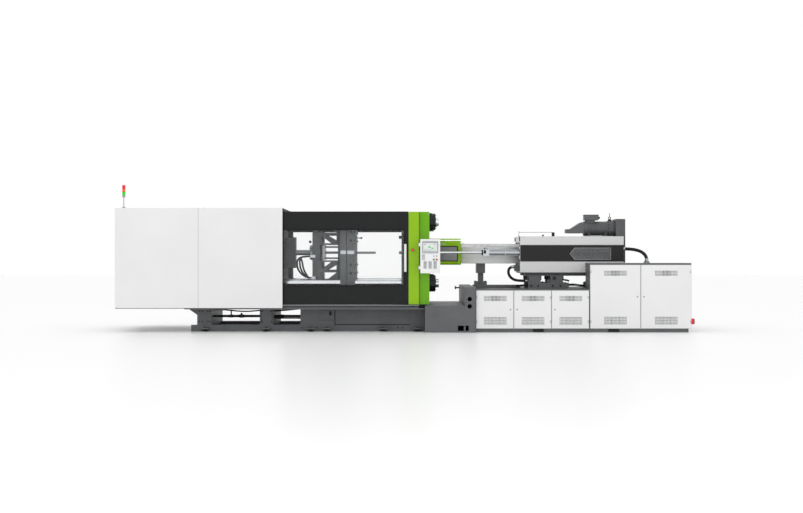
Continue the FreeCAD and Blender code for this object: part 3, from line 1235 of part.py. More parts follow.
def carriage_frame():
    """Rail beams, bottom plate, front injection plate, guide rods, cylinders, manifold and bracket."""
    inside = "unit_half - sheet"
    parts = [box("bottom_plate", ("carriage_left", "carriage_right"), ("-(%s)" % inside, inside),
                 (RAIL_TOP, "axis_height - unit_drop"))]
    for side, sign in SIDES:
        parts.append(box(side + "_rail_beam", ("carriage_left + 60", "carriage_right"),
                         beside(sign, "carriage_half - 100", "carriage_half"), (RAIL_BOTTOM, RAIL_TOP)))
    parts.append(box("front_plate_block", ("carriage_left", PLATE_RIGHT), ("-(%s)" % inside, inside),
                     ("axis_height - unit_drop", "axis_height + unit_rise - sheet")))
    parts.append(box("hose_bracket", ("carriage_right - 10", "carriage_right"),
                     ("-(%s)" % inside, "-belt_box_half - 50"),
                     ("axis_height - unit_drop", "axis_height + 150")))
    parts.append(box("manifold", ("carriage_left - 100", "carriage_left"), ("-300", "-200"),
                     ("axis_height - unit_drop + 19", "axis_height - unit_drop + 123")))
    bore = rod("barrel_seat", "x", ("carriage_left - 1", PLATE_RIGHT + " + 1"),
               "barrel_diameter + slide_fit * 2",
               ("0", "axis_height"))
    feed = rod("feed_opening", "z", ("axis_height", "axis_height + unit_rise"), "100", (FEED_AT, "0"))
    frame = cut("carriage_bored", fuse("carriage_weldment", *parts), bore, feed,
                *feed_bolts("axis_height + unit_rise - sheet"))
    rods = four_rods("guide_rod", (PLATE_RIGHT, "carriage_right - 40"), "guide_rod", "guide_side",
                     "guide_rise")
    cans = []
    for side, sign in SIDES:
        centre = (sign + "230", "axis_height")
        can = rod(side + "_injection_can", "x", (PLATE_RIGHT, PLATE_RIGHT + " + 520"), "130", centre)
        hollow = rod(side + "_injection_bore", "x", (PLATE_RIGHT + " + 30", PLATE_RIGHT + " + 490"),
                     "100", centre)
        gland = rod(side + "_injection_gland", "x", (PLATE_RIGHT + " + 480", PLATE_RIGHT + " + 521"),
                    "60 + free_gap * 2", centre)
        cans.append(cut(side + "_injection_cylinder", can, hollow, gland))
    return subpart("carriage_frame", group("carriage", frame, *rods, *cans))


def thrust_plate():
    """Moving thrust plate with guide bores, motor mount and injection piston rods."""
    right = "thrust_at + thrust_thick"
    plate = box("thrust_block", ("thrust_at", right), ("-360", "360"),
                ("axis_height - 250", "axis_height + unit_rise - 11"))
    mount = box("motor_mount", ("thrust_at", "motor_right + 40"), ("-120", "120"),
                ("axis_height + unit_rise - 11", "axis_height + motor_rise - motor_diameter / 2 - 1"))
    bores = four_rods("guide_bore", ("thrust_at - 1", right + " + 1"), "guide_rod + slide_fit * 2",
                      "guide_side", "guide_rise")
    bores.append(rod("screw_bore", "x", ("thrust_at - 1", right + " + 1"),
                     "screw_diameter + screw_fit * 2", ("0", "axis_height")))
    body = cut("thrust_bored", fuse("thrust_casting", plate, mount), *bores)
    rods = []
    for side, sign in SIDES:
        centre = (sign + "230", "axis_height")
        shaft = rod(side + "_piston_rod", "x", (PLATE_RIGHT + " + 60", "thrust_at"), "60", centre)
        piston = rod(side + "_piston", "x", (PLATE_RIGHT + " + 60", PLATE_RIGHT + " + 120"),
                     "100 - free_gap * 2", centre)
        rods.append(fuse(side + "_injection_piston", shaft, piston))
    return subpart("thrust_plate", group("thrust_group", body, *rods))


def barrel_and_nozzle():
    """Barrel with its bore and feed opening, nozzle with its orifice, and the heater bands."""
    tube = rod("barrel_tube", "x", ("barrel_left", PLATE_RIGHT), "barrel_diameter", ("0", "axis_height"))
    bore = rod("barrel_bore", "x", ("barrel_left - 1", PLATE_RIGHT + " + 1"),
               "screw_diameter + screw_fit * 2",
               ("0", "axis_height"))
    feed = rod("barrel_feed", "z", ("axis_height", "axis_height + barrel_diameter"), "100",
               (FEED_AT, "0"))
    subpart("barrel", cut("barrel_bored", tube, bore, feed))
    hub = rod("nozzle_hub", "x", ("barrel_left - 70", "barrel_left"), "barrel_diameter * 0.6",
              ("0", "axis_height"))
    taper = cone("nozzle_taper", ("-nozzle_reach + 35", "barrel_left - 70"), "nozzle_diameter",
                 "barrel_diameter * 0.45", ("0", "axis_height"))
    tip = rod("nozzle_tip", "x", ("-nozzle_reach", "-nozzle_reach + 35"), "nozzle_diameter",
              ("0", "axis_height"))
    orifice = rod("nozzle_orifice", "x", ("-nozzle_reach - 1", "barrel_left + 1"), "10",
                  ("0", "axis_height"))
    subpart("nozzle", cut("nozzle_bored", fuse("nozzle_turned", hub, taper, tip), orifice))
    bands = []
    for i, start in enumerate(("330", "560", "790", "1040", "1450", "1660", "1840")):
        outside = rod("band_%d" % i, "x", (start, start + " + band_length"),
                      "barrel_diameter + band_thick * 2",
                      ("0", "axis_height"))
        inside = rod("band_bore_%d" % i, "x", (start + " - 1", start + " + band_length + 1"),
                     "barrel_diameter + slide_fit * 2", ("0", "axis_height"))
        bands.append(cut("heater_band_%d" % i, outside, inside))
    subpart("heater_bands", group("bands", *bands))


def screw():
    """Plasticising screw with its tip, drive shaft and driven pulley."""
    shaft = rod("screw_shaft", "x", ("barrel_left + 110", "belt_box_right - 37"), "screw_diameter",
                ("0", "axis_height"))
    tip = cone("screw_tip", ("barrel_left + 20", "barrel_left + 110"), "screw_diameter * 0.2",
               "screw_diameter * 0.96",
               ("0", "axis_height"))
    pulley = rod("driven_pulley", "x", ("bell_right + 35", "belt_box_right - 42"), "screw_pulley",
                 ("0", "axis_height"))
    subpart("screw", fuse("screw_and_pulley", shaft, tip, pulley))


def barrel_cover():
    """Folded cover over the heated barrel, open below and towards the unit."""
    shell = shell_box("barrel_shell", ("barrel_cover_left", "carriage_left"),
                      ("-barrel_cover_half", "barrel_cover_half"),
                      ("axis_height - barrel_cover_drop", "axis_height + barrel_cover_rise"), "sheet",
                      ("z0", "x1"))
    mouth = rod("barrel_mouth", "x", ("barrel_cover_left - 1", "barrel_cover_left + sheet + 1"),
                "barrel_diameter + 60", ("0", "axis_height"))
    subpart("barrel_cover", cut("barrel_cover_cut", shell, mouth))


def barrel_support():
    """Support under the barrel: saddle, post and sliding foot."""
    low = "deck_top + 52 + free_gap"
    centre = "barrel_cover_left + 342"
    parts = [box("support_head", (centre + " - 71", centre + " + 72"), ("-150", "150"),
                 ("deck_top + 253", "axis_height - 60")),
             box("support_post", (centre + " - 40", centre + " + 47"), ("-90", "90"),
                 ("deck_top + 110", "deck_top + 254")),
             box("support_foot", (centre + " - 103", centre + " + 104"), ("-130", "130"),
                 (low, "deck_top + 112"))]
    seat = rod("support_seat", "x", (centre + " - 80", centre + " + 80"), "barrel_diameter + free_gap",
               ("0", "axis_height"))
    subpart("barrel_support", cut("support_bored", fuse("support_weldment", *parts), seat))


def carriage_pull():
    """Cylinders that pull the injection unit against the mould, and their rods on the platen."""
    cans, rods = [], []
    for side, sign in SIDES:
        centre = (sign + "pull_offset", "axis_height")
        head = box(side + "_pull_head", ("pull_head_at", "pull_head_at + 102"),
                   beside(sign, "pull_offset - pull_head / 2", "pull_offset + pull_head / 2"),
                   ("axis_height - pull_head / 2", "axis_height + pull_head / 2"))
        can = rod(side + "_pull_can", "x", ("pull_head_at + 102", "carriage_left"), "pull_barrel", centre)
        bore = rod(side + "_pull_bore", "x", ("pull_head_at + 102", "carriage_left - 15"), "60", centre)
        gland = rod(side + "_pull_gland", "x", ("pull_head_at - 1", "pull_head_at + 103"),
                    "pull_rod + free_gap * 2",
                    centre)
        cans.append(cut(side + "_pull_cylinder", fuse(side + "_pull_body", head, can), bore, gland))
        shaft = rod(side + "_pull_rod", "x", ("fixed_thickness", "carriage_left - 60"), "pull_rod",
                    centre)
        piston = rod(side + "_pull_piston", "x", ("carriage_left - 120", "carriage_left - 60"),
                     "60 - free_gap * 2",
                     centre)
        rods.append(fuse(side + "_pull_piston_rod", shaft, piston))
    subpart("carriage_cylinders", group("pull_cylinders", *cans))
    subpart("carriage_rods", group("pull_rods", *rods))


def unit_covers():
    """White cover of the injection unit with a motor slot, and the black side bands."""
    half, inside = "unit_half", "unit_half - sheet"
    x = ("unit_left", "unit_right")
    parts = [box("unit_roof", x, ("-unit_half", half),
                 ("axis_height + unit_rise - sheet", "axis_height + unit_rise"))]
    for side, sign in SIDES:
        skin = beside(sign, inside, half)
        parts.append(box(side + "_upper_skin", x, skin,
                         ("axis_height + band_rise", "axis_height + unit_rise")))
        parts.append(box(side + "_lower_skin", x, skin,
                         ("axis_height - unit_drop", "axis_height - band_drop")))
    parts.append(box("unit_end", ("unit_left", "unit_left + sheet"), ("-unit_half", half),
                     ("axis_height - unit_drop", "axis_height + unit_rise")))
    tools = [box("motor_slot", ("thrust_at - 60", "unit_right + 1"),
                 ("-belt_box_half - 10", "belt_box_half + 10"),
                 ("axis_height + unit_rise - 20", "axis_height + unit_rise + 1")),
             box("unit_mouth", ("unit_left - 1", "unit_left + sheet + 1"), ("-400", "400"),
                 ("axis_height - unit_drop - 1", "axis_height + barrel_cover_rise + 20")),
             rod("roof_feed", "z", ("axis_height + unit_rise - 10", "axis_height + unit_rise + 10"),
                 "100", (FEED_AT, "0")),]
    tools += [rod("roof_bolt_%d" % i, "z",
                  ("axis_height + unit_rise - 10", "axis_height + unit_rise + 10"), "14",
                  (FEED_AT + " %s 60" % (a or "+"), b + "60")) for i, (a, b) in enumerate(CORNERS)]
    subpart("unit_cover", cut("unit_cover_cut", fuse("unit_sheets", *parts), *tools))
    bands = []
    low, high = "axis_height - band_drop + 39", "axis_height + band_rise - 52"
    for side, sign in SIDES:
        band = padded(side + "_band", "XZ", beside(sign, inside, half),
                      rectangle(("unit_left + sheet", "unit_right"),
                                ("axis_height - band_drop", "axis_height + band_rise")))
        if side == "front":
            pocketed(band, "band_window", "XZ", beside(sign, inside + " - 1", half + " + 1"), outlines=[[
                ("unit_left + 826", "(%s + %s) / 2 + 18" % (low, high)), ("unit_left + 866", low),
                ("unit_right - 221", low), ("unit_right - 221", high), ("unit_left + 920", high)]])
        bands.append(band)
    subpart("unit_bands", group("bands_pair", *bands))


def drive_motor():
    """Screw drive motor on feet, with its end bell, junction box and air hood."""
    centre = ("0", "axis_height + motor_rise")
    low = "axis_height + motor_rise - motor_diameter / 2"
    body = rod("motor_body", "x", ("motor_left", "motor_right"), "motor_diameter", centre)
    bell = rod("motor_bell", "x", ("motor_right", "bell_right"), "motor_diameter * 0.86", centre)
    feet_block = box("motor_feet", ("motor_left + 60", "motor_right - 60"), ("-100", "100"),
                     (low + " - 1", low + " + 60"))
    neck = box("junction_neck", ("motor_left + 60", "motor_left + 200"), ("-60", "60"),
               ("axis_height + motor_rise + 90", "axis_height + motor_rise + 136"))
    junction = box("junction_box", ("motor_left + 11", "motor_left + 251"), ("-95", "95"),
                   ("axis_height + motor_rise + 135", "axis_height + motor_rise + 235"))
    hood = padded("air_hood", "XZ", ("-motor_diameter / 2", "motor_diameter / 2"),
                  [("motor_left - 300", "axis_height + motor_rise - 79"),
                   ("motor_left", "axis_height + motor_rise - 79"),
                   ("motor_left", "axis_height + motor_rise + 105"),
                   ("motor_left - 45", "axis_height + motor_rise + 105"),
                   ("motor_left - 233", "axis_height + motor_rise - 13"),
                   ("motor_left - 300", "axis_height + motor_rise - 13")])
    shaft_bore = rod("motor_shaft_bore", "x", ("bell_right - 30", "bell_right + 1"), "40 + slide_fit * 2",
                     centre)
    motor = fuse("motor_whole", body, bell, feet_block, neck, junction, hood)
    subpart("drive_motor", cut("motor_bored", motor, shaft_bore))
    pulley = rod("pulley_disc", "x", ("bell_right + 35", "belt_box_right - 42"), "motor_pulley", centre)
    shaft = rod("motor_shaft", "x", ("bell_right - 28", "belt_box_right - 37"), "40", centre)
    subpart("motor_pulley", fuse("pulley_on_shaft", shaft, pulley))


def belt_box():
    """Hollow belt box with holes for the motor and screw shafts."""
    shell = shell_box("belt_shell", ("bell_right", "belt_box_right"), ("-belt_box_half", "belt_box_half"),
                      ("axis_height - 170", "axis_height + motor_rise + 157"), "sheet * 2")
    holes = [rod("belt_box_motor_hole", "x", ("bell_right - 1", "bell_right + 10"), "90",
                 ("0", "axis_height + motor_rise")),
             rod("belt_box_screw_hole", "x", ("bell_right - 1", "bell_right + 10"),
                 "screw_diameter + 20", ("0", "axis_height")),]
    subpart("belt_box", cut("belt_box_cut", shell, *holes))


def drive_belt():
    """Open belt round both pulleys: two tangents and two arcs, thickened outwards."""
    small = number("motor_pulley / 2 + free_gap")
    large = number("screw_pulley / 2 + free_gap")
    thick, wide = number("belt_thick"), number("belt_width")
    x = number("(bell_right + belt_box_right) / 2 - 3 - belt_width / 2")
    top, bottom = number("axis_height + motor_rise"), number("axis_height")
    lean = (large - small) / (top - bottom)
    rise, side = lean, (1 - lean ** 2) ** 0.5

    def loop(extra):
        """The belt's outline at a distance outside the pulleys."""
        def at(sign, centre, radius):
            return Vector(x, sign * side * radius, centre + rise * radius)
        high, low = small + extra, large + extra
        edges = [
            Part.Arc(at(-1, top, high), Vector(x, 0, top + high), at(1, top, high)).toShape(),
            Part.LineSegment(at(1, top, high), at(1, bottom, low)).toShape(),
            Part.Arc(at(1, bottom, low), Vector(x, 0, bottom - low), at(-1, bottom, low)).toShape(),
            Part.LineSegment(at(-1, bottom, low), at(-1, top, high)).toShape(),
        ]
        return Part.Face(Part.Wire(edges))

    band = loop(thick).cut(loop(0)).extrude(Vector(wide, 0, 0))
    belt = doc.addObject("Part::Feature", "belt_band")
    belt.Shape = band
    subpart("drive_belt", belt)


def nozzle_guard():
    """Sliding nozzle guard with a window, and the rails on the platen that carry it."""
    x = ("guard_left", "barrel_cover_left - 2")
    shell = shell_box("guard_shell", x, ("-guard_half", "guard_half"),
                      ("axis_height - guard_drop", "axis_height + guard_rise"), "sheet",
                      ("z0", "x0", "x1"))
    window = box("guard_window", ("guard_left + 248", "guard_left + 543"),
                 ("-guard_half - 1", "-guard_half + sheet + 1"),
                 ("axis_height - guard_drop + 66", "axis_height + guard_rise - 140"))
    hooks, rails = [], []
    for side, sign in SIDES:
        for i, start in enumerate(("guard_left + 20", "guard_left + 400")):
            hooks.append(box("%s_guard_hook_%d" % (side, i), (start, start + " + 60"),
                             beside(sign, "guard_half - 30", "guard_half - sheet + 1"),
                             ("axis_height + guard_rise - 49",
                              "axis_height + guard_rise - 37 - free_gap")))
        rails.append(box(side + "_guard_rail", ("fixed_thickness", "guard_left + 1130"),
                         beside(sign, "guard_half - 26", "guard_half - sheet - free_gap"),
                         ("axis_height + guard_rise - 37", "axis_height + guard_rise - 25")))
    subpart("nozzle_guard", fuse("guard_with_hooks", cut("guard_cut", shell, window), *hooks))
    subpart("guard_rails", group("guard_rail_pair", *rails))


# ---------------------------------------------------------------- hoses
def hose(label, points, diameter):
    """A round hose along straight runs joined by tangent arcs, each as large as its runs allow."""
    route = [Vector(*point) for point in points]
    edges, start, radii = [], route[0], []
    for before, corner, after in zip(route, route[1:], route[2:]):
        back, ahead = before - corner, after - corner
        turn = math.pi - back.getAngle(ahead)
        reach = 0.45 * min(back.Length, ahead.Length)
        radius = reach / math.tan(turn / 2)
        radii.append(round(radius / diameter, 1))
        entry = corner + back.normalize() * reach
        leave = corner + ahead.normalize() * reach
        middle_way = (entry + leave) * 0.5 - corner
        distance = (radius ** 2 + reach ** 2) ** 0.5 - radius
        top = corner + middle_way.normalize() * distance
        edges.append(Part.LineSegment(start, entry).toShape())
        edges.append(Part.Arc(entry, top, leave).toShape())
        start = leave
    edges.append(Part.LineSegment(start, route[-1]).toShape())
    path = Part.Wire(edges)
    direction = (route[1] - route[0]).normalize()
    section = Part.Wire(Part.makeCircle(diameter / 2, route[0], direction))
    tube = path.makePipeShell([section], True, False)
    print(label, "length", round(path.Length), "arc radii in diameters", radii,
          "volume ratio", round(tube.Volume / (path.Length * math.pi * diameter ** 2 / 4), 4))
    feature = doc.addObject("Part::Feature", label + "_tube")
    feature.Shape = tube
    subpart(label, feature)


HOSE_LEFT = ((1900, -250, 1060), (1840, -250, 1060), (1796, -262, 1004), (1806, -284, 916),
             (1874, -312, 846), (1980, -340, 826), (2125, -340, 826))
HOSE_RIGHT = ((3700, -330, 1362), (3800, -330, 1362), (3916, -350, 1350), (4012, -412, 1316),
              (4062, -496, 1258), (4074, -546, 1198), (4074, -546, 1151))


def hoses():
    """Hydraulic hose to the deck and power cable hose to the drive cabinet."""
    hose("hose_left", HOSE_LEFT, 45)
    hose("hose_right", HOSE_RIGHT, 54)


clamp_base()
drop_panel()
slide_rails()
fixed_platen()
moving_platen()
tail_platen()
tie_bars()
tie_bar_nuts()
for name, level in (("upper", "+"), ("lower", "-")):
    front_links("front_link_" + name, level)
    rear_links("rear_link_" + name, level)
    drive_links("drive_link_" + name, level)
crosshead()
clamp_cylinders()
ejector()
cover_frame()
clamp_covers()
gates()
platen_covers()
signal_tower()
emergency_stop()
control_panel()
injection_base()
drive_cabinet()
doors()
power_pack()
guide_shoes()
carriage_frame()
thrust_plate()
barrel_and_nozzle()
screw()
barrel_cover()
barrel_support()
carriage_pull()
unit_covers()
drive_motor()
belt_box()
drive_belt()
nozzle_guard()
hoses()

# ---------------------------------------------------------------- check and export
doc.recompute()
for thing in doc.Objects:
    if {"Invalid", "Error"} & set(thing.State):
        raise RuntimeError("%s failed: %s" % (thing.Name, thing.State))
for thing in SUBPARTS:
    if thing.Shape.isNull() or not thing.Shape.isValid():
        raise RuntimeError(thing.Label + " has no valid shape")

os.makedirs("parts", exist_ok=True)
for thing in SUBPARTS:
    thing.Shape.exportStep("parts/%s.step" % thing.Label)
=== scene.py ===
"""Finishes and fittings of a horizontal toggle injection moulding machine, built round its packed frame."""

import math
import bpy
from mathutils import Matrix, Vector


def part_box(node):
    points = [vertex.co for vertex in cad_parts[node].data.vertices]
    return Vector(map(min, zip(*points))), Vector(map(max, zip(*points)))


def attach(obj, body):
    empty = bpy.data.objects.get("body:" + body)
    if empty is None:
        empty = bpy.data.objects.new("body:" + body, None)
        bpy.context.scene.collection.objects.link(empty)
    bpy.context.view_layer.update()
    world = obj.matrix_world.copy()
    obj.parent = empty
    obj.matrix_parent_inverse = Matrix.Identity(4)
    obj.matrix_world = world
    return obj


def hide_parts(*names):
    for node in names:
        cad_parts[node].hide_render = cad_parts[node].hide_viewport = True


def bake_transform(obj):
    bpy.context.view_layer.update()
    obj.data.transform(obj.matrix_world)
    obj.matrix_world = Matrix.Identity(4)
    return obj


bl_info = {
    "name": "Injection moulding machine",
    "version": (1, 0, 0),
    "blender": (4, 5, 0),
    "location": "View3D > Sidebar > Machine",
    "description": "Adds the finishes, fittings and studio of an injection moulding machine",
    "category": "Object",
}

import bpy
import numpy as np
from bpy.props import FloatProperty, FloatVectorProperty, PointerProperty

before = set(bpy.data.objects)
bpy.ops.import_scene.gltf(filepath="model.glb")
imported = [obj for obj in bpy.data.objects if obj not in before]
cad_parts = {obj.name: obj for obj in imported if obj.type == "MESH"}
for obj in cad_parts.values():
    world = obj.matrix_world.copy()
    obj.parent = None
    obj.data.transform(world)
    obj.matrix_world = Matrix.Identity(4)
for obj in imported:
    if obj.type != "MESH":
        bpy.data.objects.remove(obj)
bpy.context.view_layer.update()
MM = 0.001
AXIS = 1300.0   # height of the machine's axis, mm
SIDES = (-1.0, 1.0)
ORIGIN = (0, 0, 0)
BARS = 510.0    # tie bars' centres, each way from the axis, mm
GATE_FACE = -912.0   # front gate's and green covers' outer face, mm
UNIT_HALF = 440      # half the width of the injection unit's hood, mm


# ---------------------------------------------------------------- shapes, all in millimetres
class Shape:
    """Points, four-sided faces and many-sided end faces, kept as arrays until they become a mesh."""

    def __init__(self, points, quads, ends=()):
        self.points = np.asarray(points, float).reshape(-1, 3)
        self.quads = np.asarray(quads, int).reshape(-1, 4)
        self.ends = [np.asarray(end, int) for end in ends]

    def moved(self, offset):
        """The same faces with an offset added to every point."""
        return Shape(self.points + np.asarray(offset, float), self.quads, self.ends)

    def scaled(self, factors):
        """Every point multiplied by a factor per axis; an odd number of negative factors turns the faces."""
        factors = np.asarray(factors, float)
        turned = Shape(self.points * factors, self.quads, self.ends)
        return turned.flipped() if factors.prod() < 0 else turned

    def flipped(self):
        """Faces listed the other way round, so that they point the other way."""
        return Shape(self.points, self.quads[:, ::-1], [end[::-1] for end in self.ends])

    def outward(self):
        """Faces pointing out: the sum of (a x b) . c over a fan of triangles is positive on a closed shell."""
        fans = [self.quads[:, (0, 1, 2)], self.quads[:, (0, 2, 3)]]
        for end in self.ends:
            fans.append(np.stack([np.full(len(end) - 2, end[0]), end[1:-1], end[2:]], axis=-1))
        corner = self.points[np.concatenate(fans)] - self.points.mean(axis=0)
        volume = np.einsum("ij,ij->i", np.cross(corner[:, 0], corner[:, 1]), corner[:, 2]).sum()
        return self if volume >= 0 else self.flipped()

    def copies(self, places):
        """The shape repeated at each offset."""
        return joined(*[self.moved(place) for place in places])


def joined(*shapes):
    """Several shapes as one: the points end to end, and the faces' numbers raised to follow."""
    starts = np.cumsum([0] + [len(shape.points) for shape in shapes[:-1]])
    ends = [end + start for shape, start in zip(shapes, starts) for end in shape.ends]
    return Shape(np.concatenate([shape.points for shape in shapes]),
                 np.concatenate([shape.quads + start for shape, start in zip(shapes, starts)]), ends)


def skin(points, wrap_rows=False, wrap_columns=True, capped=True):
    """Faces over a grid of points (rows, columns, 3): each is its neighbour right, right and up, and up."""
    rows, columns = points.shape[:2]
    index = np.arange(rows * columns).reshape(rows, columns)
    if wrap_rows:
        index = np.vstack([index, index[:1]])
    if wrap_columns:
        index = np.hstack([index, index[:, :1]])
    quads = np.stack([index[:-1, :-1], index[:-1, 1:], index[1:, 1:], index[1:, :-1]], axis=-1)
    closed = capped and wrap_columns and not wrap_rows
    ends = [np.arange(columns)[::-1], np.arange(columns) + (rows - 1) * columns] if closed else []
    shape = Shape(points, quads, ends)
    return shape.outward() if closed or (wrap_rows and wrap_columns) else shape


def across(axis):
    """The three row axes in order, starting with the two that are square to the named one."""
    along = "xyz".index(axis)
    return (along + 1) % 3, (along + 2) % 3, along


def lathe(axis, centre, profile, sides=32, ring=False):
    """Surface of revolution: (distance, radius) pairs turned about the axis by radius * (cos, sin)."""
    first, second, along = across(axis)
    distance, radius = np.asarray(profile, float).T
    angle = np.linspace(0.0, 2 * math.pi, sides, endpoint=False)
    points = np.zeros((len(distance), sides, 3))
    points[..., first] = radius[:, None] * np.cos(angle)
    points[..., second] = radius[:, None] * np.sin(angle)
    points[..., along] = distance[:, None]
    return skin(points + np.asarray(centre, float), wrap_rows=ring)


def disc_profile(length, radius, edge):
    """Profile of a round bar whose ends are chamfered by edge."""
    return [(0, radius - edge), (edge, radius), (length - edge, radius), (length, radius - edge)]


def rod(axis, centre, length, radius, edge=1.0, sides=32):
    """Round bar with chamfered ends, starting at centre and running along the axis."""
    return lathe(axis, centre, disc_profile(length, radius, edge), sides)


def washer(axis, centre, length, outer, inner, edge=1.0, sides=40):
    """Ring: a chamfered rectangle between two radii, turned about the axis."""
    loop = [(0, inner), (0, outer - edge), (edge, outer), (length - edge, outer), (length, outer - edge),
            (length, inner)]
    return lathe(axis, centre, loop, sides, ring=True)


def block(low, high, corner=4.0, edge=1.5, axis="z", steps=3):
    """Rounded rectangle carried along the axis; the end rings draw in by edge * (1 - sin) over a quarter."""
    low, high = np.minimum(low, high).astype(float), np.maximum(low, high).astype(float)
    first, second, along = across(axis)
    middle, half = (low + high) / 2, (high - low) / 2
    corner = min(corner, half[first] * 0.99, half[second] * 0.99)
    edge = min(edge, half[along] * 0.9, corner * 0.9)
    turn = np.linspace(0.0, math.pi / 2, steps + 1)
    quarter = np.arange(4)[:, None] * math.pi / 2
    angle = (quarter + turn).ravel()
    signs = np.repeat(np.array([(1, 1), (-1, 1), (-1, -1), (1, -1)], float), steps + 1, axis=0)
    inset = edge * (1 - np.sin(turn))
    rise = edge * (1 - np.cos(turn))
    inset = np.concatenate([inset, inset[::-1]])
    level = np.concatenate([low[along] + rise, high[along] - rise[::-1]])
    points = np.zeros((len(level), len(angle), 3))
    for place, wave, side in ((first, np.cos(angle), signs[:, 0]), (second, np.sin(angle), signs[:, 1])):
        points[..., place] = middle[place] + side * (half[place] - corner) + wave * (corner - inset[:, None])
    points[..., along] = level[:, None]
    return skin(points)


def prism(axis, ends, outline):
    """Flat outline, in the two axes square to the named one, carried from one end to the other."""
    first, second, along = across(axis)
    outline = np.asarray(outline, float)
    points = np.zeros((2, len(outline), 3))
    points[..., first] = outline[:, 0]
    points[..., second] = outline[:, 1]
    points[..., along] = np.asarray(ends, float)[:, None]
    return skin(points)


def curve_of(corners, steps=6):
    """Smooth line near a list of corners: between the middles of two runs, (1-t)^2 a + 2t(1-t) b + t^2 c."""
    corners = np.asarray(corners, float)
    middles = (corners[:-1] + corners[1:]) / 2
    starts = np.vstack([corners[:1], middles[1:-1]])
    stops = np.vstack([middles[1:-1], corners[-1:]])
    share = np.linspace(0.0, 1.0, steps + 1)[None, :, None]
    bends = ((1 - share) ** 2 * starts[:, None] + 2 * share * (1 - share) * corners[1:-1, None]
             + share ** 2 * stops[:, None])
    return np.vstack([bends[:, :-1].reshape(-1, 3), corners[-1:]])


def tube(path, radius, sides=16):
    """Round tube: at each point of the path a circle in the plane square to it, carried on without twist."""
    path = np.asarray(path, float)
    ahead = np.gradient(path, axis=0)
    ahead /= np.linalg.norm(ahead, axis=1)[:, None]
    side = np.cross(ahead[0], (0.31, 0.17, 0.93))
    frames = []
    for direction in ahead:
        side = side - direction * (side @ direction)
        side = side / np.linalg.norm(side)
        frames.append(side)
    side = np.array(frames)
    angle = np.linspace(0.0, 2 * math.pi, sides, endpoint=False)[None, :, None]
    points = path[:, None] + radius * (np.cos(angle) * side[:, None] + np.sin(angle) * np.cross(ahead, side)[:, None])
    return skin(points)


def pipe(corners, radius, sides=14):
    """Bent pipe along the smooth line of its corners."""
    return tube(curve_of(corners), radius, sides)


def facing(shape, axis, way, centre):
    """The shape moved to centre, and mirrored along the axis where way is -1."""
    flip = np.ones(3)
    flip["xyz".index(axis)] = way
    return shape.scaled(flip).moved(centre)


def hex_screw(axis, size, way=1.0, centre=ORIGIN):
    """Hexagon head on a washer; size is the thread's diameter, and way is the side of the centre it is on."""
    profile = [(size * 0.15, size * 0.95), (size * 0.72, size * 0.95), (size * 0.8, size * 0.8)]
    shape = joined(rod(axis, ORIGIN, size * 0.18, size * 1.15, size * 0.04, 20),
                   lathe(axis, ORIGIN, profile, 6))
    return facing(shape, axis, way, centre)


def socket_screw(axis, size, way=1.0, centre=ORIGIN):
    """Cap head with a sunk socket: the profile rises to the rim, crosses it and drops into the socket."""
    profile = [(0, size * 0.78), (size * 0.85, size * 0.78), (size, size * 0.68), (size, size * 0.42),
               (size * 0.5, size * 0.4)]
    return facing(lathe(axis, ORIGIN, profile, 16), axis, way, centre)


def button_screw(axis, size, way=1.0, centre=ORIGIN):
    """Low domed head: radius * cos and height * sin over a quarter circle, round a small socket."""
    turn = np.linspace(0.0, 1.1, 5)
    dome = [(0.0, size)] + list(zip(size * 0.45 * np.sin(turn) + 0.2, size * np.cos(turn)))
    dome += [(size * 0.25, size * 0.4)]
    return facing(lathe(axis, ORIGIN, dome, 16), axis, way, centre)


def spots(*values):
    """Every combination of the given coordinates: x values, y values and z values."""
    return np.stack(np.meshgrid(*[np.atleast_1d(value) for value in values], indexing="ij"), axis=-1).reshape(-1, 3)


def folded(axis, ends, line, keep=None, cuts=()):
    """Folded sheet: a line in the two axes square to the named one, carried along it, less masked faces."""
    first, second, along = across(axis)
    line = np.asarray(line, float)
    stations = np.array(sorted({*ends, *cuts}))
    points = np.zeros((len(stations), len(line), 3))
    points[..., first] = line[:, 0]
    points[..., second] = line[:, 1]
    points[..., along] = stations[:, None]
    shape = skin(points, wrap_columns=False)
    if keep is not None:
        middles = shape.points[shape.quads].mean(axis=1)
        shape = Shape(shape.points, shape.quads[keep(middles)])
    return shape


def oval(centre, right, up, half_width, half_height, depth, sides=28, lip=0.8):
    """Pressed oval: rings of half_width * cos and half_height * sin, raised along right x up, then sunk."""
    right, up = np.asarray(right, float), np.asarray(up, float)
    normal = np.cross(right, up)
    angle = np.linspace(0.0, 2 * math.pi, sides, endpoint=False)
    rings = []
    for grow, rise in ((0.0, 0.0), (-1.5, depth), (-4.0, depth * lip), (-5.0, depth * 0.3)):
        rings.append(np.asarray(centre) + np.outer(np.cos(angle), right) * (half_width + grow)
                     + np.outer(np.sin(angle), up) * (half_height + grow) + normal * rise)
    return skin(np.array(rings))


# ---------------------------------------------------------------- pieces
def mesh_of(name, shape):
    """A Blender mesh from a shape, in metres, smooth where faces meet at under 35 degrees."""
    mesh = bpy.data.meshes.new(name)
    mesh.from_pydata(shape.points * MM, [], shape.quads.tolist() + [end.tolist() for end in shape.ends])
    mesh.validate()
    mesh.shade_smooth()
    mesh.set_sharp_from_angle(angle=math.radians(35))
    return mesh


def piece(name, shape, body, material, stands_for=()):
    """Adds a shape, or a list of them, as an object on a body, with its finish, slot and nodes it stands for."""
    whole = shape if isinstance(shape, Shape) else joined(*shape)
    thing = bpy.data.objects.new(name, mesh_of(name, whole))
    bpy.context.scene.collection.objects.link(thing)
    thing.data.materials.append(finish(material))
    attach(thing, body)
    if stands_for:
        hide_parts(*stands_for)
    return thing


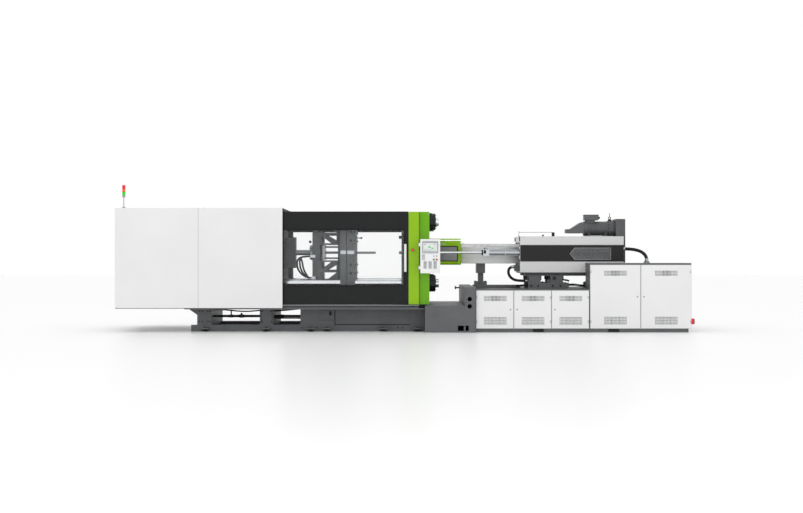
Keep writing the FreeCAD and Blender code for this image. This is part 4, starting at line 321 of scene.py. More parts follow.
def solidify(thing, thickness):
    """Gives a folded sheet its thickness, inwards."""
    wall = thing.modifiers.new("wall", "SOLIDIFY")
    wall.thickness = thickness * MM
    wall.offset = -1.0


def corners_of(node):
    """Lowest and highest corner of a CAD node, in millimetres."""
    low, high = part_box(node)
    return np.array(low) / MM, np.array(high) / MM


# ---------------------------------------------------------------- finishes
def linear(code):
    """sRGB hex to linear light: c / 12.92 up to 0.04045, and ((c + 0.055) / 1.055) ^ 2.4 above."""
    parts = (int(code[i:i + 2], 16) / 255 for i in (0, 2, 4))
    return tuple(c / 12.92 if c <= 0.04045 else ((c + 0.055) / 1.055) ** 2.4 for c in parts)


# Each paint colour: its label, what it covers and its sRGB code.
COLOURS = {
    "cover": ("Covers", "Powder coat of covers, doors and unit hood", "E9E9E9"),
    "base": ("Base", "Structure paint of the welded bases", "616365"),
    "accent": ("Accent", "Enamel of the platen covers and nozzle guard", "8DBE06"),
    # The nut covers take the platen covers' enamel, drawn darker for the shade where they stand back from the posts:
    # painted shade.
    "shade": ("Deep accent", "Enamel of the tie bar nut covers", "68AC00"),
    "gate": ("Gates", "Powder coat of the safety gates", "202122"),
    "casting": ("Castings", "Primer of the platens and links", "5A5C5F"),
    "motor": ("Motor", "Paint of the screw drive", "58595B"),
}
# Each size: its label, what it measures, and its default, least and greatest value in metres.
SIZES = {
    "cover_screw": ("Cover screw", "Thread of the screws in sheet covers", 0.008, 0.004, 0.016),
    "plate_bolt": ("Plate bolt", "Thread of the bolts in castings and weldments", 0.024, 0.010, 0.048),
    "hose_left": ("Oil hose", "Outer diameter of the oil hose", 0.045, 0.02, 0.08),
    "hose_right": ("Cable duct", "Outer diameter of the flexible cable duct", 0.054, 0.02, 0.08),
    "camera_away": ("Camera distance", "Camera's distance from the machine axis", 21.45, 5, 60),
}


class MachineColours(bpy.types.PropertyGroup):
    """Paint colours that a buyer of the machine would choose."""
    __annotations__ = {name: FloatVectorProperty(
        name=label, description=use, subtype="COLOR", size=3, min=0, max=1, default=linear(code))
        for name, (label, use, code) in COLOURS.items()}


class MachineSizes(bpy.types.PropertyGroup):
    """Sizes that would differ between one fitting and another."""
    __annotations__ = {name: FloatProperty(
        name=label, description=use, subtype="DISTANCE", unit="LENGTH", default=usual, min=least, max=most)
        for name, (label, use, usual, least, most) in SIZES.items()}


def paint(code):
    """The paint colour of that name, or an sRGB hex code's colour, with an alpha of 1."""
    chosen = bpy.context.scene.machine_colours
    return (*(getattr(chosen, code) if hasattr(chosen, code) else linear(code)), 1.0)


def size(name):
    """One of the sizes, in millimetres."""
    return getattr(bpy.context.scene.machine_sizes, name) / MM


def begin(name, base, roughness, metallic=0.0):
    """A new material with its shader's plain values set."""
    made = bpy.data.materials.new(name)
    made.use_nodes = True
    shader = made.node_tree.nodes["Principled BSDF"]
    shader.inputs["Base Color"].default_value = base
    shader.inputs["Roughness"].default_value = roughness
    shader.inputs["Metallic"].default_value = metallic
    return made, made.node_tree, shader


def add(tree, kind, settings=None, links=None):
    """Adds a node, sets its properties or inputs by name, and links its inputs to other nodes' outputs."""
    made = tree.nodes.new(kind)
    for key, value in (settings or {}).items():
        if hasattr(made, key):
            setattr(made, key, value)
        else:
            made.inputs[key].default_value = value
    for key, source in (links or {}).items():
        tree.links.new(source, made.inputs[key])
    return made


def grain(tree, grain_mm, detail=3.0, stretch=(1, 1, 1)):
    """Noise whose features are grain_mm across, stretched along an axis by a factor below 1."""
    place = add(tree, "ShaderNodeTexCoord")
    mapped = add(tree, "ShaderNodeMapping", {"Scale": stretch}, {"Vector": place.outputs["Object"]})
    return add(tree, "ShaderNodeTexNoise", {"Scale": 1 / (grain_mm * MM), "Detail": detail},
               {"Vector": mapped.outputs["Vector"]}).outputs["Fac"]


def vary(tree, shader, base, factor, spread, socket="Base Color"):
    """Colour or roughness that wanders by spread either side of base as factor goes from 0.3 to 0.7."""
    if socket == "Base Color":
        low = tuple(max(0.0, c * (1 - spread)) for c in base[:3]) + (1.0,)
        high = tuple(min(1.0, c * (1 + spread)) for c in base[:3]) + (1.0,)
    else:
        low, high = [(value,) * 3 + (1.0,) for value in (base - spread, base + spread)]
    ramp = add(tree, "ShaderNodeValToRGB", links={"Fac": factor})
    ramp.color_ramp.elements[0].position, ramp.color_ramp.elements[0].color = 0.3, low
    ramp.color_ramp.elements[1].position, ramp.color_ramp.elements[1].color = 0.7, high
    tree.links.new(ramp.outputs["Color"], shader.inputs[socket])


def bump(tree, shader, height, strength, depth_mm):
    """Relief of depth_mm from a height between 0 and 1."""
    made = add(tree, "ShaderNodeBump", {"Strength": strength, "Distance": depth_mm * MM}, {"Height": height})
    tree.links.new(made.outputs["Normal"], shader.inputs["Normal"])


def surface(name, code, roughness, metallic=0.0, tone=None, sheen=None, relief=None, **inputs):
    """A material whose shade, roughness and relief follow noise.

    tone and sheen are (spread, grain in mm, detail, stretch), relief is (strength, depth in mm, grain in mm,
    detail, stretch), and inputs are more of the shader's inputs, with _ for each space in a name.
    """
    base = paint(code)
    made, tree, shader = begin(name, base, roughness, metallic)
    for key, value in inputs.items():
        shader.inputs[key.replace("_", " ")].default_value = value
    for value, noise, socket in ((base, tone, "Base Color"), (roughness, sheen, "Roughness")):
        if noise:
            vary(tree, shader, value, grain(tree, *noise[1:]), noise[0], socket)
    if relief:
        bump(tree, shader, grain(tree, *relief[2:]), *relief[:2])
    return made


def powder_coat(name, code, roughness=0.42, gloss=0.3):
    """Baked polyester powder on sheet steel: satin, with a fine orange peel and slow drifts in shade."""
    # The real peel is about 2 mm across; it is drawn at 6 mm so that it shows.
    return surface(name, code, roughness, 0.0, (0.025, 900, 2.0), (0.05, 60), (0.12, 0.25, 6, 1.0),
                   Specular_IOR_Level=gloss)


def enamel(name, code):
    """Sprayed gloss enamel over sheet steel, with a clear top coat and a long, faint ripple."""
    return surface(name, code, 0.3, 0.0, (0.04, 700, 2.0), None, (0.10, 0.3, 14, 1.0),
                   Specular_IOR_Level=0.2, Coat_Weight=0.06, Coat_Roughness=0.12)


def moulded(name, code, roughness=0.45, grit_mm=1.6, gloss=0.4):
    """Injection-moulded plastic with a spark-eroded grain, drawn a little coarse so that it shows."""
    return surface(name, code, roughness, 0.0, (0.03, 150, 2.0), None, (0.15, 0.15, grit_mm, 1.0),
                   IOR=1.52, Specular_IOR_Level=gloss)


def lit(name, code, roughness=0.12, glow=0.0):
    """Glossy coloured plastic of buttons and lenses; glow is the light that it gives off itself."""
    return surface(name, code, roughness, 0.0, (0.08, 8, 1.0), IOR=1.49, Emission_Color=paint(code),
                   Emission_Strength=glow)


def structure_paint():
    """Two-pack grey paint rolled on a welded base: satin, with roller texture and dust that has settled."""
    return surface("rolled_structure_paint", "base", 0.5, 0.0, (0.10, 350, 5.0), (0.08, 45),
                   (0.25, 0.5, 9, 2.0), Specular_IOR_Level=0.3)


def cast_paint():
    """Grey primer over sand-cast iron: the sand leaves a coarse pebble, and oil has darkened it in patches."""
    return surface("primed_sand_casting", "casting", 0.55, 0.0, (0.16, 120, 6.0), (0.12, 30),
                   (0.5, 1.2, 7, 4.0), Specular_IOR_Level=0.25)


def motor_paint():
    """Charcoal machine enamel on cast and finned aluminium, slightly glossy on its edges."""
    return surface("charcoal_machine_enamel", "motor", 0.45, 0.0, (0.10, 90, 4.0), None, (0.3, 0.6, 5, 3.0))


def ground_steel():
    """Surface-ground tool steel: fine straight scratches along the machine, and a faint oil film."""
    along = (0.02, 1, 1)
    return surface("surface_ground_steel", "929496", 0.34, 1.0, (0.10, 160, 4.0), (0.10, 4, 2.0, along),
                   (0.2, 0.15, 4, 2.0, along))


def hard_chrome():
    """Ground and hard-chromed bar: mirror bright, with turned rings and wiped oil."""
    return surface("hard_chrome", "DDE0E2", 0.14, 1.0, (0.04, 220, 3.0), (0.06, 30, 3.0, (4, 0.6, 0.6)),
                   (0.05, 0.05, 3, 1.0, (3, 0.05, 0.05)))


def zinc_plate():
    """Bright zinc on screws and fittings: pale blue-grey, slightly mottled."""
    return surface("bright_zinc_plate", "B9BDC1", 0.36, 1.0, (0.12, 12, 4.0), (0.08, 8))


def black_oxide():
    """Black oxide on high-tensile screws and nuts: near black, oily, with bare metal showing through."""
    return surface("black_oxide_steel", "2A2B2D", 0.42, 0.7, (0.35, 20, 5.0), (0.1, 15), (0.25, 0.4, 6, 3.0))


def band_steel():
    """Stainless jacket of the heater bands, straw-coloured by heat in places."""
    return surface("heat_tinted_stainless", "8F8B84", 0.4, 1.0, (0.22, 70, 4.0), None,
                   (0.25, 0.3, 5, 2.0, (1, 0.1, 0.1)))


def hose_rubber():
    """Synthetic rubber cover with the cloth-wrap pattern that its curing tape leaves."""
    base = paint("1B1B1C")
    made, tree, shader = begin("cloth_wrapped_rubber", base, 0.62)
    shader.inputs["Specular IOR Level"].default_value = 0.25
    place = add(tree, "ShaderNodeTexCoord")
    wrap = add(tree, "ShaderNodeTexWave", {"Scale": 1 / (9 * MM * 2 * math.pi), "Distortion": 1.2, "Detail": 2.0},
               {"Vector": place.outputs["Object"]})
    vary(tree, shader, base, grain(tree, 10), 0.25)
    bump(tree, shader, wrap.outputs["Fac"], 0.35, 0.6)
    return made


def clear_pane():
    """Clear polycarbonate sheet: barely tinted, so most light passes, with a crisp reflection."""
    return surface("polycarbonate_sheet", "DFE6E6", 0.06, relief=(0.05, 0.5, 260, 1.0), IOR=1.58, Alpha=0.035)


def smoked_pane():
    """Grey-tinted polycarbonate in the nozzle guard."""
    return surface("smoked_polycarbonate", "8F9092", 0.12, relief=(0.08, 0.5, 180, 1.0), Alpha=0.72)


def tinted_pane():
    """Dark-tinted polycarbonate over the unit's inspection window: the parts behind it show through softly."""
    return surface("tinted_polycarbonate", "66686A", 0.15, relief=(0.08, 0.5, 180, 1.0),
                   Specular_IOR_Level=0.3, Alpha=0.6)


def vent_mesh():
    """Woven wire filter behind the vents: dark, with 5 mm cells that stand for its openings."""
    base = paint("A9ABAD")
    made, tree, shader = begin("woven_vent_mesh", base, 0.6, 0.1)
    place = add(tree, "ShaderNodeTexCoord")
    cells = add(tree, "ShaderNodeTexVoronoi", {"Scale": 1 / (5 * MM)}, {"Vector": place.outputs["Object"]})
    vary(tree, shader, base, cells.outputs["Distance"], 0.45)
    bump(tree, shader, cells.outputs["Distance"], 0.6, 1.0)
    return made


def dark_inside():
    """Unlit inside of a hole or a gap: flat black paint."""
    return surface("painted_shade_flat_black", "101011", 0.85, 0.0, (0.3, 40))


# Each finish's maker, then its material's name, colour and other settings where the maker takes them.
FINISHES = {
    "cover_white": (powder_coat, "powder_coat_pale_grey", "cover"),
    "unit_grey": (powder_coat, "powder_coat_light_grey", "DADADA"),
    "gate_black": (powder_coat, "powder_coat_black", "gate", 0.38, 0.15),
    "vent_rib": (powder_coat, "powder_coat_mid_grey", "C2C4C5", 0.5),
    "rail_grey": (powder_coat, "powder_coat_track_grey", "77797B", 0.45),
    "accent_enamel": (enamel, "enamel_yellow_green", "accent"),
    "painted_shade_enamel": (enamel, "enamel_deep_green", "shade"),
    "panel_white": (moulded, "moulded_abs_white", "EFEFEF"),
    "band_black": (moulded, "moulded_abs_black", "272728", 0.33, 1.6, 0.15),
    "grip_black": (moulded, "moulded_nylon_black", "161617", 0.55, 2.2, 0.2),
    "bezel_grey": (moulded, "moulded_polycarbonate_grey", "A4A6A9", 0.4),
    "key_grey": (moulded, "silicone_keys", "9FA3A6", 0.6),
    "panel_line": (moulded, "printed_grey_line", "C4C6C8", 0.5),
    # The red parts are buttons, caps and a switch grip, no lamps: their glow is painted glow.
    "red_with_painted_glow": (lit, "gloss_red_plastic", "E3061C", 0.2, 0.15),
    "signal_green": (lit, "gloss_green_plastic", "0DA24B", 0.2, 0.1),
    "lens_red": (lit, "ribbed_red_lens", "E4002B", 0.15, 0.1),
    "lens_amber": (lit, "ribbed_amber_lens", "F2600A", 0.15, 0.1),
    "lens_green": (lit, "ribbed_green_lens", "12D21A", 0.15, 0.1),
    "display_pale": (lit, "lit_display", "D6DAD8", 0.1, 0.1),
    "display_mark": (lit, "display_shapes_green", "3DB54A", 0.1, 0.3),
    "display_dark": (lit, "display_bars_grey", "7E8688", 0.1, 0.15),
}
for maker in (structure_paint, cast_paint, motor_paint, ground_steel, hard_chrome, zinc_plate, black_oxide,
              band_steel, hose_rubber, clear_pane, smoked_pane, tinted_pane, vent_mesh, dark_inside):
    FINISHES[maker.__name__] = (maker,)
MADE = {}


def finish(name):
    """The material of that name, made once."""
    if name not in MADE:
        maker, *settings = FINISHES[name]
        MADE[name] = maker(*settings)
    return MADE[name]


# Finish of each CAD node that stays in view.
NODE_FINISH = {
    "cover_white": ["clamp_covers", "door_1", "door_2", "door_3", "door_4", "door_5"],
    "unit_grey": ["unit_cover"],
    "structure_paint": ["clamp_base", "drop_panel", "cover_frame", "injection_base", "drive_cabinet",
                        "carriage_frame", "guide_shoes", "barrel_support", "panel_arms"],
    "cast_paint": ["fixed_platen", "moving_platen", "tail_platen", "crosshead", "clamp_cylinders",
                   "rear_link_upper", "rear_link_lower", "front_link_upper", "front_link_lower",
                   "drive_link_upper", "drive_link_lower"],
    "motor_paint": ["belt_box", "power_pack"],
    "ground_steel": ["slide_rails", "barrel", "nozzle", "ejector", "ejector_cylinder",
                     "thrust_plate", "screw", "motor_pulley"],
    "hard_chrome": ["tie_bars", "carriage_rods", "guard_rails"],
    "band_steel": ["heater_bands"],
    "zinc_plate": ["carriage_cylinders"],
    "gate_black": ["front_gate"],
    "accent_enamel": ["platen_covers"],
    "painted_shade_enamel": ["nut_covers"],
    "clear_pane": ["gate_window"],
    "panel_white": ["panel_housing"],
    "red_with_painted_glow": ["e_stop", "stop_button"],
    "signal_green": ["start_button"],
    "hose_rubber": ["drive_belt"],
}


# ---------------------------------------------------------------- more shapes
def plate_with_hole(axis, ends, outer, inner):
    """Flat plate with a hole: both outlines have as many points, and the skin runs face, hole, back, rim."""
    first, second, along = across(axis)
    loops = ((outer, ends[0]), (inner, ends[0]), (inner, ends[1]), (outer, ends[1]))
    points = np.zeros((4, len(outer), 3))
    for row, (outline, level) in enumerate(loops):
        points[row, :, first], points[row, :, second] = np.asarray(outline, float).T
        points[row, :, along] = level
    return skin(points, wrap_rows=True)


def rounded(low, high, corner, steps=4):
    """Rounded rectangle as an outline: a quarter circle of corner * (cos, sin) at each of its corners."""
    low, high = np.asarray(low, float), np.asarray(high, float)
    turn = (np.arange(4)[:, None] * math.pi / 2 + np.linspace(0.0, math.pi / 2, steps)).ravel()
    signs = np.repeat(np.array([(1, 1), (-1, 1), (-1, -1), (1, -1)], float), steps, axis=0)
    middle, half = (low + high) / 2, (high - low) / 2
    return middle + signs * (half - corner) + corner * np.stack([np.cos(turn), np.sin(turn)], axis=-1)


def border(axis, ends, low, high, width, corner=10.0):
    """Picture frame of even width: two rounded rectangles, one inside the other, carried along the axis."""
    low, high = np.asarray(low, float), np.asarray(high, float)
    inner = max(corner - width, 1.0)
    return plate_with_hole(axis, ends, rounded(low, high, corner), rounded(low + width, high - width, inner))


def fluted(centre, low, high, radius, flutes=20, depth=0.9):
    """Ribbed lens: radius + depth * cos(flutes * angle), drawn in at both ends by a quarter circle."""
    angle = np.linspace(0.0, 2 * math.pi, flutes * 4, endpoint=False)
    turn = np.linspace(0.0, math.pi / 2, 4)
    inset = np.concatenate([3 * (1 - np.sin(turn)), 3 * (1 - np.sin(turn))[::-1]])
    level = np.concatenate([low + 3 * (1 - np.cos(turn)), (high - 3 * (1 - np.cos(turn)))[::-1]])
    reach = radius - inset[:, None] + depth * np.cos(flutes * angle)
    points = np.stack([centre[0] + reach * np.cos(angle), centre[1] + reach * np.sin(angle),
                       np.repeat(level[:, None], len(angle), axis=1)], axis=-1)
    return skin(points)


def finned(axis, centre, length, radius, fins, depth):
    """Finned barrel: the radius drops by depth in the gap after each fin, which is half the pitch wide."""
    pitch = length / fins
    profile = []
    for i in range(fins):
        start = i * pitch
        profile += [(start, radius - depth), (start + pitch * 0.1, radius), (start + pitch * 0.5, radius),
                    (start + pitch * 0.6, radius - depth)]
    return lathe(axis, centre, profile + [(length, radius - depth)], 48)


def on_both(shape):
    """The shape and its mirror image on the other side of the machine."""
    return joined(shape, shape.scaled((1, -1, 1)))


# ---------------------------------------------------------------- steps
STEPS = {}


def step(label):
    """Makes a function one of the add-on's operators, machine.<its name>, with this label on its button."""
    def wrap(build):
        def execute(self, context):
            build()
            return {"FINISHED"}
        STEPS[build.__name__] = type("MACHINE_OT_" + build.__name__, (bpy.types.Operator,), {
            "bl_idname": "machine." + build.__name__, "bl_label": label, "__doc__": build.__doc__,
            "execute": execute})
        return build
    return wrap


# ---------------------------------------------------------------- signal tower
@step("Signal tower")
def signal_tower():
    """Flange, pole, cup and three ribbed lenses on the clamp cover.

    Stacks the lenses on the cup, at the CAD tower's place.
    """
    low, high = corners_of("signal_tower")
    spot = (low + high)[:2] / 2
    cup = 208   # height of the stand under the lenses
    base, lens = low[2], (high[2] - low[2] - cup) / 3
    stand = joined(rod("z", (*spot, base), 8, 32, 2),
                   lathe("z", (*spot, base), [(8, 26), (14, 25), (24, 12), (26, 9)]),
                   rod("z", (*spot, base + 20), 160, 7.5, 0.5, 20),
                   lathe("z", (*spot, base), [(172, 9), (178, 24), (184, 26.5), (206, 26.5), (208, 25)]),
                   socket_screw("z", 6, 1, (0, 0, base + 8)).copies(
                       [(spot[0] + x, spot[1] + y, 0) for x, y in ((26, 0), (-26, 0), (0, 26), (0, -26))]))
    piece("tower_stand", stand, "frame", "bezel_grey", ["signal_tower"])
    for i, name in enumerate(("lens_green", "lens_amber", "lens_red")):
        start = base + cup + lens * i
        piece("tower_" + name, fluted(spot, start + 1, start + lens - 1, 24.5), "frame", name)
    piece("tower_joints", [rod("z", (*spot, base + cup + lens * i - 1.5), 3, 26, 0.5)
                           for i in (1, 2)], "frame", "grip_black")


# ---------------------------------------------------------------- clamp covers
@step("Cover fittings")
def cover_fittings():
    """Screws, edge seals, louvres, locks and lifting eyes of the clamp covers.

    Sets the fittings out from the covers' corners and their seam.
    """
    low, high = corners_of("clamp_covers")
    seam, thread = -3314.0, size("cover_screw")
    columns = np.array([low[0] + 60, seam - 60, seam + 60, high[0] - 60])
    screws = []
    for side in SIDES:
        face = side * high[1]
        screws.append(button_screw("y", thread, side).copies(
            np.vstack([spots(columns, face, np.linspace(low[2] + 60, high[2] - 60, 5)),
                       spots(np.linspace(low[0] + 360, seam - 360, 3), face, low[2] + 24),
                       spots(np.linspace(seam + 360, high[0] - 360, 3), face, low[2] + 24)])))
    # The end panel's screws are sunk, so only their crowns show.
    screws.append(button_screw("x", thread, -1).copies(
        spots(low[0] + 3.6, (low[1] + 60, high[1] - 60), np.linspace(low[2] + 60, high[2] - 60, 5))))
    piece("cover_screws", screws, "frame", "panel_white")
    # Black strips along the covers' front edge and underside stand for the shadow lines there: painted shade. They
    # stand clear of the gates, which slide past them inside the covers.
    edge = block((high[0] - 1, -948, low[2]), (high[0] + 16, -918, high[2] - 4), 4, 1)
    sill = block((low[0] + 4, -948, low[2] - 9), (high[0] + 14, -924, low[2] + 5), 3, 1, "x")
    piece("cover_edge_shadow_strips", on_both(joined(edge, sill)), "frame", "grip_black")
    blades = [prism("y", (centre - 170, centre + 170), [(level + 30 * i, low[0] + 4),
                                                       (level + 30 * i + 20, low[0] + 0.2),
                                                       (level + 30 * i + 23, low[0] + 4)])
              for centre in (-430.0, 430.0) for level in (760.0, 1560.0) for i in range(8)]
    piece("rear_louvres", blades, "frame", "cover_white")
    eyes = joined(rod("z", ORIGIN, 6, 24, 1.5, 24), lathe("z", (0, 0, 6), [(0, 15), (5, 14), (6, 8)], 24))
    piece("lifting_plugs", eyes.copies(spots(columns, (-700, 700), high[2])), "frame", "grip_black")


# ---------------------------------------------------------------- gates
GATE_WINDOW = ((-1930.0, 760.0), (41.0, 1670.0))   # left and lower, right and upper edge, mm


def window_ring(face, way, ends=(0.0, 9.0)):
    """Rubber frame round a gate's window, standing proud of the face."""
    (left, bottom), (right, top) = GATE_WINDOW
    levels = sorted((face + way * ends[0], face + way * ends[1]))
    return border("y", levels, (bottom - 14, left - 14), (top + 14, right + 14), 20, 26)


@step("Safety gates")
def gates():
    """Handle sleeve, window seals, rollers and screws of both sliding gates, and the rear gate's leaf.

    Works from the gates' corners and their window.
    """
    low, high = corners_of("front_gate")
    face = GATE_FACE
    (left, bottom), (right, top) = GATE_WINDOW
    piece("gate_seal", window_ring(face, -1), "front_gate", "grip_black")
    piece("gate_inner_seal", window_ring(face + 40, 1, (0, 6)), "front_gate", "grip_black")
    sleeve = block((44, -969, 984), (80, -943, 1438), 11, 5, "z", 5)
    piece("gate_grip", sleeve, "front_gate", "panel_white")
    caps = block((42, -970, 970), (82, -913, 988), 8, 3, "y").copies([(0, 0, 0), (0, 0, 464)])
    piece("gate_grip_feet", caps, "front_gate", "grip_black")
    thread = size("cover_screw")
    rows = np.vstack([spots(np.linspace(low[0] + 60, high[0] - 60, 9), face, (low[2] + 26, high[2] - 26)),
                      spots(np.linspace(left + 40, right - 40, 8), face, (bottom - 40, top + 40))])
    piece("gate_screws", button_screw("y", thread, -1).copies(rows), "front_gate", "black_oxide")
    # Rear gate: two deep panels, two stiles and a rail, round the same window.
    low, high = corners_of("rear_gate")
    inside, outside = low[1] + 1, high[1] - 1
    leaf = joined(block((low[0], inside, low[2]), (high[0], outside, bottom), 6, 2),
                  block((low[0], inside, top), (high[0], outside, high[2]), 6, 2),
                  block((low[0], outside - 40, bottom - 2), (left, outside, top + 2), 6, 2),
                  block((right, outside - 40, bottom - 2), (high[0], outside, top + 2), 6, 2))
    piece("rear_gate_leaf", leaf, "rear_gate", "gate_black", ["rear_gate"])
    pane = block((left - 10, outside - 23, bottom - 10), (right + 10, outside - 17, top + 10), 4, 1)
    piece("rear_gate_pane", pane, "rear_gate", "clear_pane")
    piece("rear_gate_seal", window_ring(outside, 1, (-1, 6)), "rear_gate", "grip_black")
    piece("rear_gate_screws", button_screw("y", thread, 1).copies(
        spots(np.linspace(low[0] + 60, high[0] - 60, 9), outside, (low[2] + 26, high[2] - 26))),
        "rear_gate", "black_oxide")


# ---------------------------------------------------------------- platens
@step("Tie bar nuts")
def bar_nuts():
    """Split nuts on the tie bars: scalloped rings with clamping screws, keeper plates and a slit.

    Builds one nut along X and sets it on each end of the four bars.
    """
    angle = np.linspace(0.0, 2 * math.pi, 96, endpoint=False)
    rings = []
    # Each ring of the skin: distance along the bar, radius, and how deep its ten scallops are.
    for distance, radius, scallop in ((0, 74, 0), (0, 134, 2), (4, 139, 2), (46, 139, 2), (50, 126, 0),
                                      (62, 126, 0), (66, 139, 9), (156, 139, 9), (160, 135, 7), (160, 108, 0),
                                      (164, 106, 0), (164, 86, 0), (170, 84, 0), (170, 71.5, 0)):
        reach = radius - scallop * (0.5 + 0.5 * np.cos(10 * angle))
        rings.append(np.stack([np.full_like(angle, distance), reach * np.cos(angle), reach * np.sin(angle)], -1))
    nut = skin(np.array(rings), wrap_rows=True)
    turn = np.arange(8) * math.pi / 4 + math.pi / 8
    round_face = np.stack([np.full(8, 160.0), 119 * np.cos(turn), 119 * np.sin(turn)], axis=-1)
    screws = socket_screw("x", 12, 1).copies(round_face)
    keeper = block((60, -40, 128), (112, 40, 139.5), 6, 2)
    keepers = joined(keeper, keeper.scaled((1, 1, -1)))
    heads = hex_screw("z", 11, 1).copies([(86, -22, 139), (86, 22, 139)])
    whole = joined(nut, screws, keepers, heads)
    low, high = corners_of("tie_bar_nuts")
    nuts = []
    for y, z in ((a * BARS, AXIS + b * BARS) for a in SIDES for b in SIDES):
        nuts.append(whole.moved((high[0] - 170, y, z)))
        nuts.append(whole.scaled((-1, 1, 1)).moved((low[0] + 170, y, z)))
    piece("tie_bar_nuts_turned", nuts, "frame", "black_oxide", ["tie_bar_nuts"])


@step("Platen fittings")
def platen_fittings():
    """Bolts, machined pads, lines, knobs and grease fittings on the three platens and the toggle.

    Sets the fittings out from the platens' faces.
    """
    bolt = size("plate_bolt")
    mould = corners_of("moving_platen")[1][0]
    edge = np.array([956, 1095, 1498, 1637], float)
    sides = joined(*[hex_screw("y", bolt * 0.8, side).copies(spots(mould - 66, side * 660, edge))
                     for side in SIDES])
    stubs = socket_screw("x", bolt * 0.7, 1).copies(spots(mould, (-600, 600), edge))
    piece("moving_platen_bolts", joined(sides, stubs), "moving_platen", "black_oxide")
    pads = joined(*[joined(block((-1011, side * 660, 1272), (-913, side * 667, 1333), 4, 2),
                           block((-897, side * 660, 1272), (-780, side * 667, 1333), 4, 2)) for side in SIDES])
    piece("machined_pads", pads, "moving_platen", "zinc_plate")
    piece("pad_screws", [socket_screw("y", 5, side).copies(
        spots((-995, -929, -881, -796), side * 667, (1286, 1319))) for side in SIDES],
        "moving_platen", "black_oxide")
    probe = joined(rod("x", (mould, -560, 1541), 96, 8, 1, 16), rod("x", (mould + 92, -560, 1541), 32, 15, 4, 20),
                   rod("x", (mould, -560, 1541), 16, 18, 3, 20))
    piece("mould_probe", probe, "moving_platen", "black_oxide")
    # Ejector oil lines: bent steel pipes from the manifold on the rear plate down to the side of the ribs.
    lines = [pipe([(-1500, y, 1238), (-1640 - 26 * i, y, 1236), (-1742 + 44 * i, y, 1190 - 10 * i),
                   (-1738 + 52 * i, y, 1030), (-1660 + 40 * i, y, 930), (-1560 + 8 * i, y, 876),
                   (-1480, y, 876)], 15) for i, y in enumerate((-478.0, -504.0, -530.0))]
    piece("ejector_lines", lines, "moving_platen", "hose_rubber")
    blocks = joined(block((-1520, -552, 1214), (-1430, -432, 1262), 4, 2),
                    block((-1500, -552, 852), (-1430, -432, 900), 4, 2),
                    hex_screw("x", 17, -1, (-1512, 0, 0)).copies([(0, y, z) for y in (-478, -504, -530)
                                                                   for z in (1238, 876)]))
    piece("ejector_manifolds", blocks, "moving_platen", "zinc_plate")
    flange = hex_screw("x", 16, -1).copies(
        [(-1550, 98 * math.cos(a), AXIS + 98 * math.sin(a)) for a in np.arange(8) * math.pi / 4])
    piece("ejector_flange_bolts", flange, "moving_platen", "black_oxide")
    grease = lathe("y", ORIGIN, [(0, 9), (8, 9), (9, 5), (16, 5), (19, 7), (23, 4)], 10)
    for body, x in (("frame", -2644.0), ("moving_platen", -1584.0)):
        nipples = joined(*[grease.scaled((1, side, 1)).copies(
            spots(x, side * 430, (AXIS - 560, AXIS + 560))) for side in SIDES])
        piece(body + "_pin_nipples", nipples, body, "zinc_plate")
    grid = (-600, -380, 380, 600)
    tail = hex_screw("x", bolt, -1).copies(
        [(corners_of("tail_platen")[0][0], y, AXIS + z) for y in grid for z in grid])
    piece("tail_platen_bolts", tail, "frame", "black_oxide")
    stop = joined(rod("x", (-34, 0, 0), 35, 16, 3, 20), rod("x", (-44, 0, 0), 14, 22, 5, 24))
    piece("mould_face_stops", stop.copies([(0, -600, 1560), (0, 600, 1560)]), "frame", "grip_black")
    oiler = lathe("y", (-1520, -430, 1478), [(0, 9), (-46, 9), (-50, 20), (-66, 23), (-78, 16)], 24)
    piece("toggle_oiler_knob", oiler, "moving_platen", "grip_black")


@step("Platen covers")
def columns():
    """Screws, shadow strips, feet and the emergency stop's collar on the green platen covers.

    Sets the fittings out from both covers' corners.
    """
    low, high = corners_of("platen_covers")
    deep_low, deep_high = corners_of("nut_covers")
    thread = size("cover_screw")
    screws, feet, strips = [], [], []
    for side in SIDES:
        levels = np.linspace(low[2] + 90, high[2] - 40, 5)
        screws.append(button_screw("y", thread * 0.8, side).copies(
            np.vstack([spots(low[0] + 16, side * -GATE_FACE, levels), spots(deep_high[0] - 18, side * 870, levels)])))
        feet.append(block((low[0] + 8, side * 900, 392), (high[0] - 8, side * 842, 450), 5, 2))
        feet.append(block((deep_low[0] + 12, side * 866, 372), (deep_high[0] - 8, side * 812, 391), 5, 2))
        # Black strips at both edges of each green cover stand for the shadow in the gaps: painted shade.
        strips.append(block((high[0] - 1, side * 872, low[2] + 40), (high[0] + 5, side * 905, high[2] - 4), 2, 1))
        strips.append(block((low[0] - 3, side * 866, low[2] + 20), (low[0] + 1, side * 906, high[2] - 4), 2, 1))
    piece("column_screws", screws, "frame", "zinc_plate")
    piece("column_feet", feet, "frame", "gate_black")
    piece("column_shadow_strips", strips, "frame", "grip_black")
    stop = sum(corners_of("e_stop")) / 2
    # The collar takes the darker green of the nut covers, which is painted shade.
    collar = lathe("y", (stop[0], GATE_FACE, stop[2]),
                   [(1, 16), (1, 31), (-3, 32), (-6, 29), (-6, 23), (-2, 22)], 40, True)
    piece("stop_collar", collar, "frame", "painted_shade_enamel")


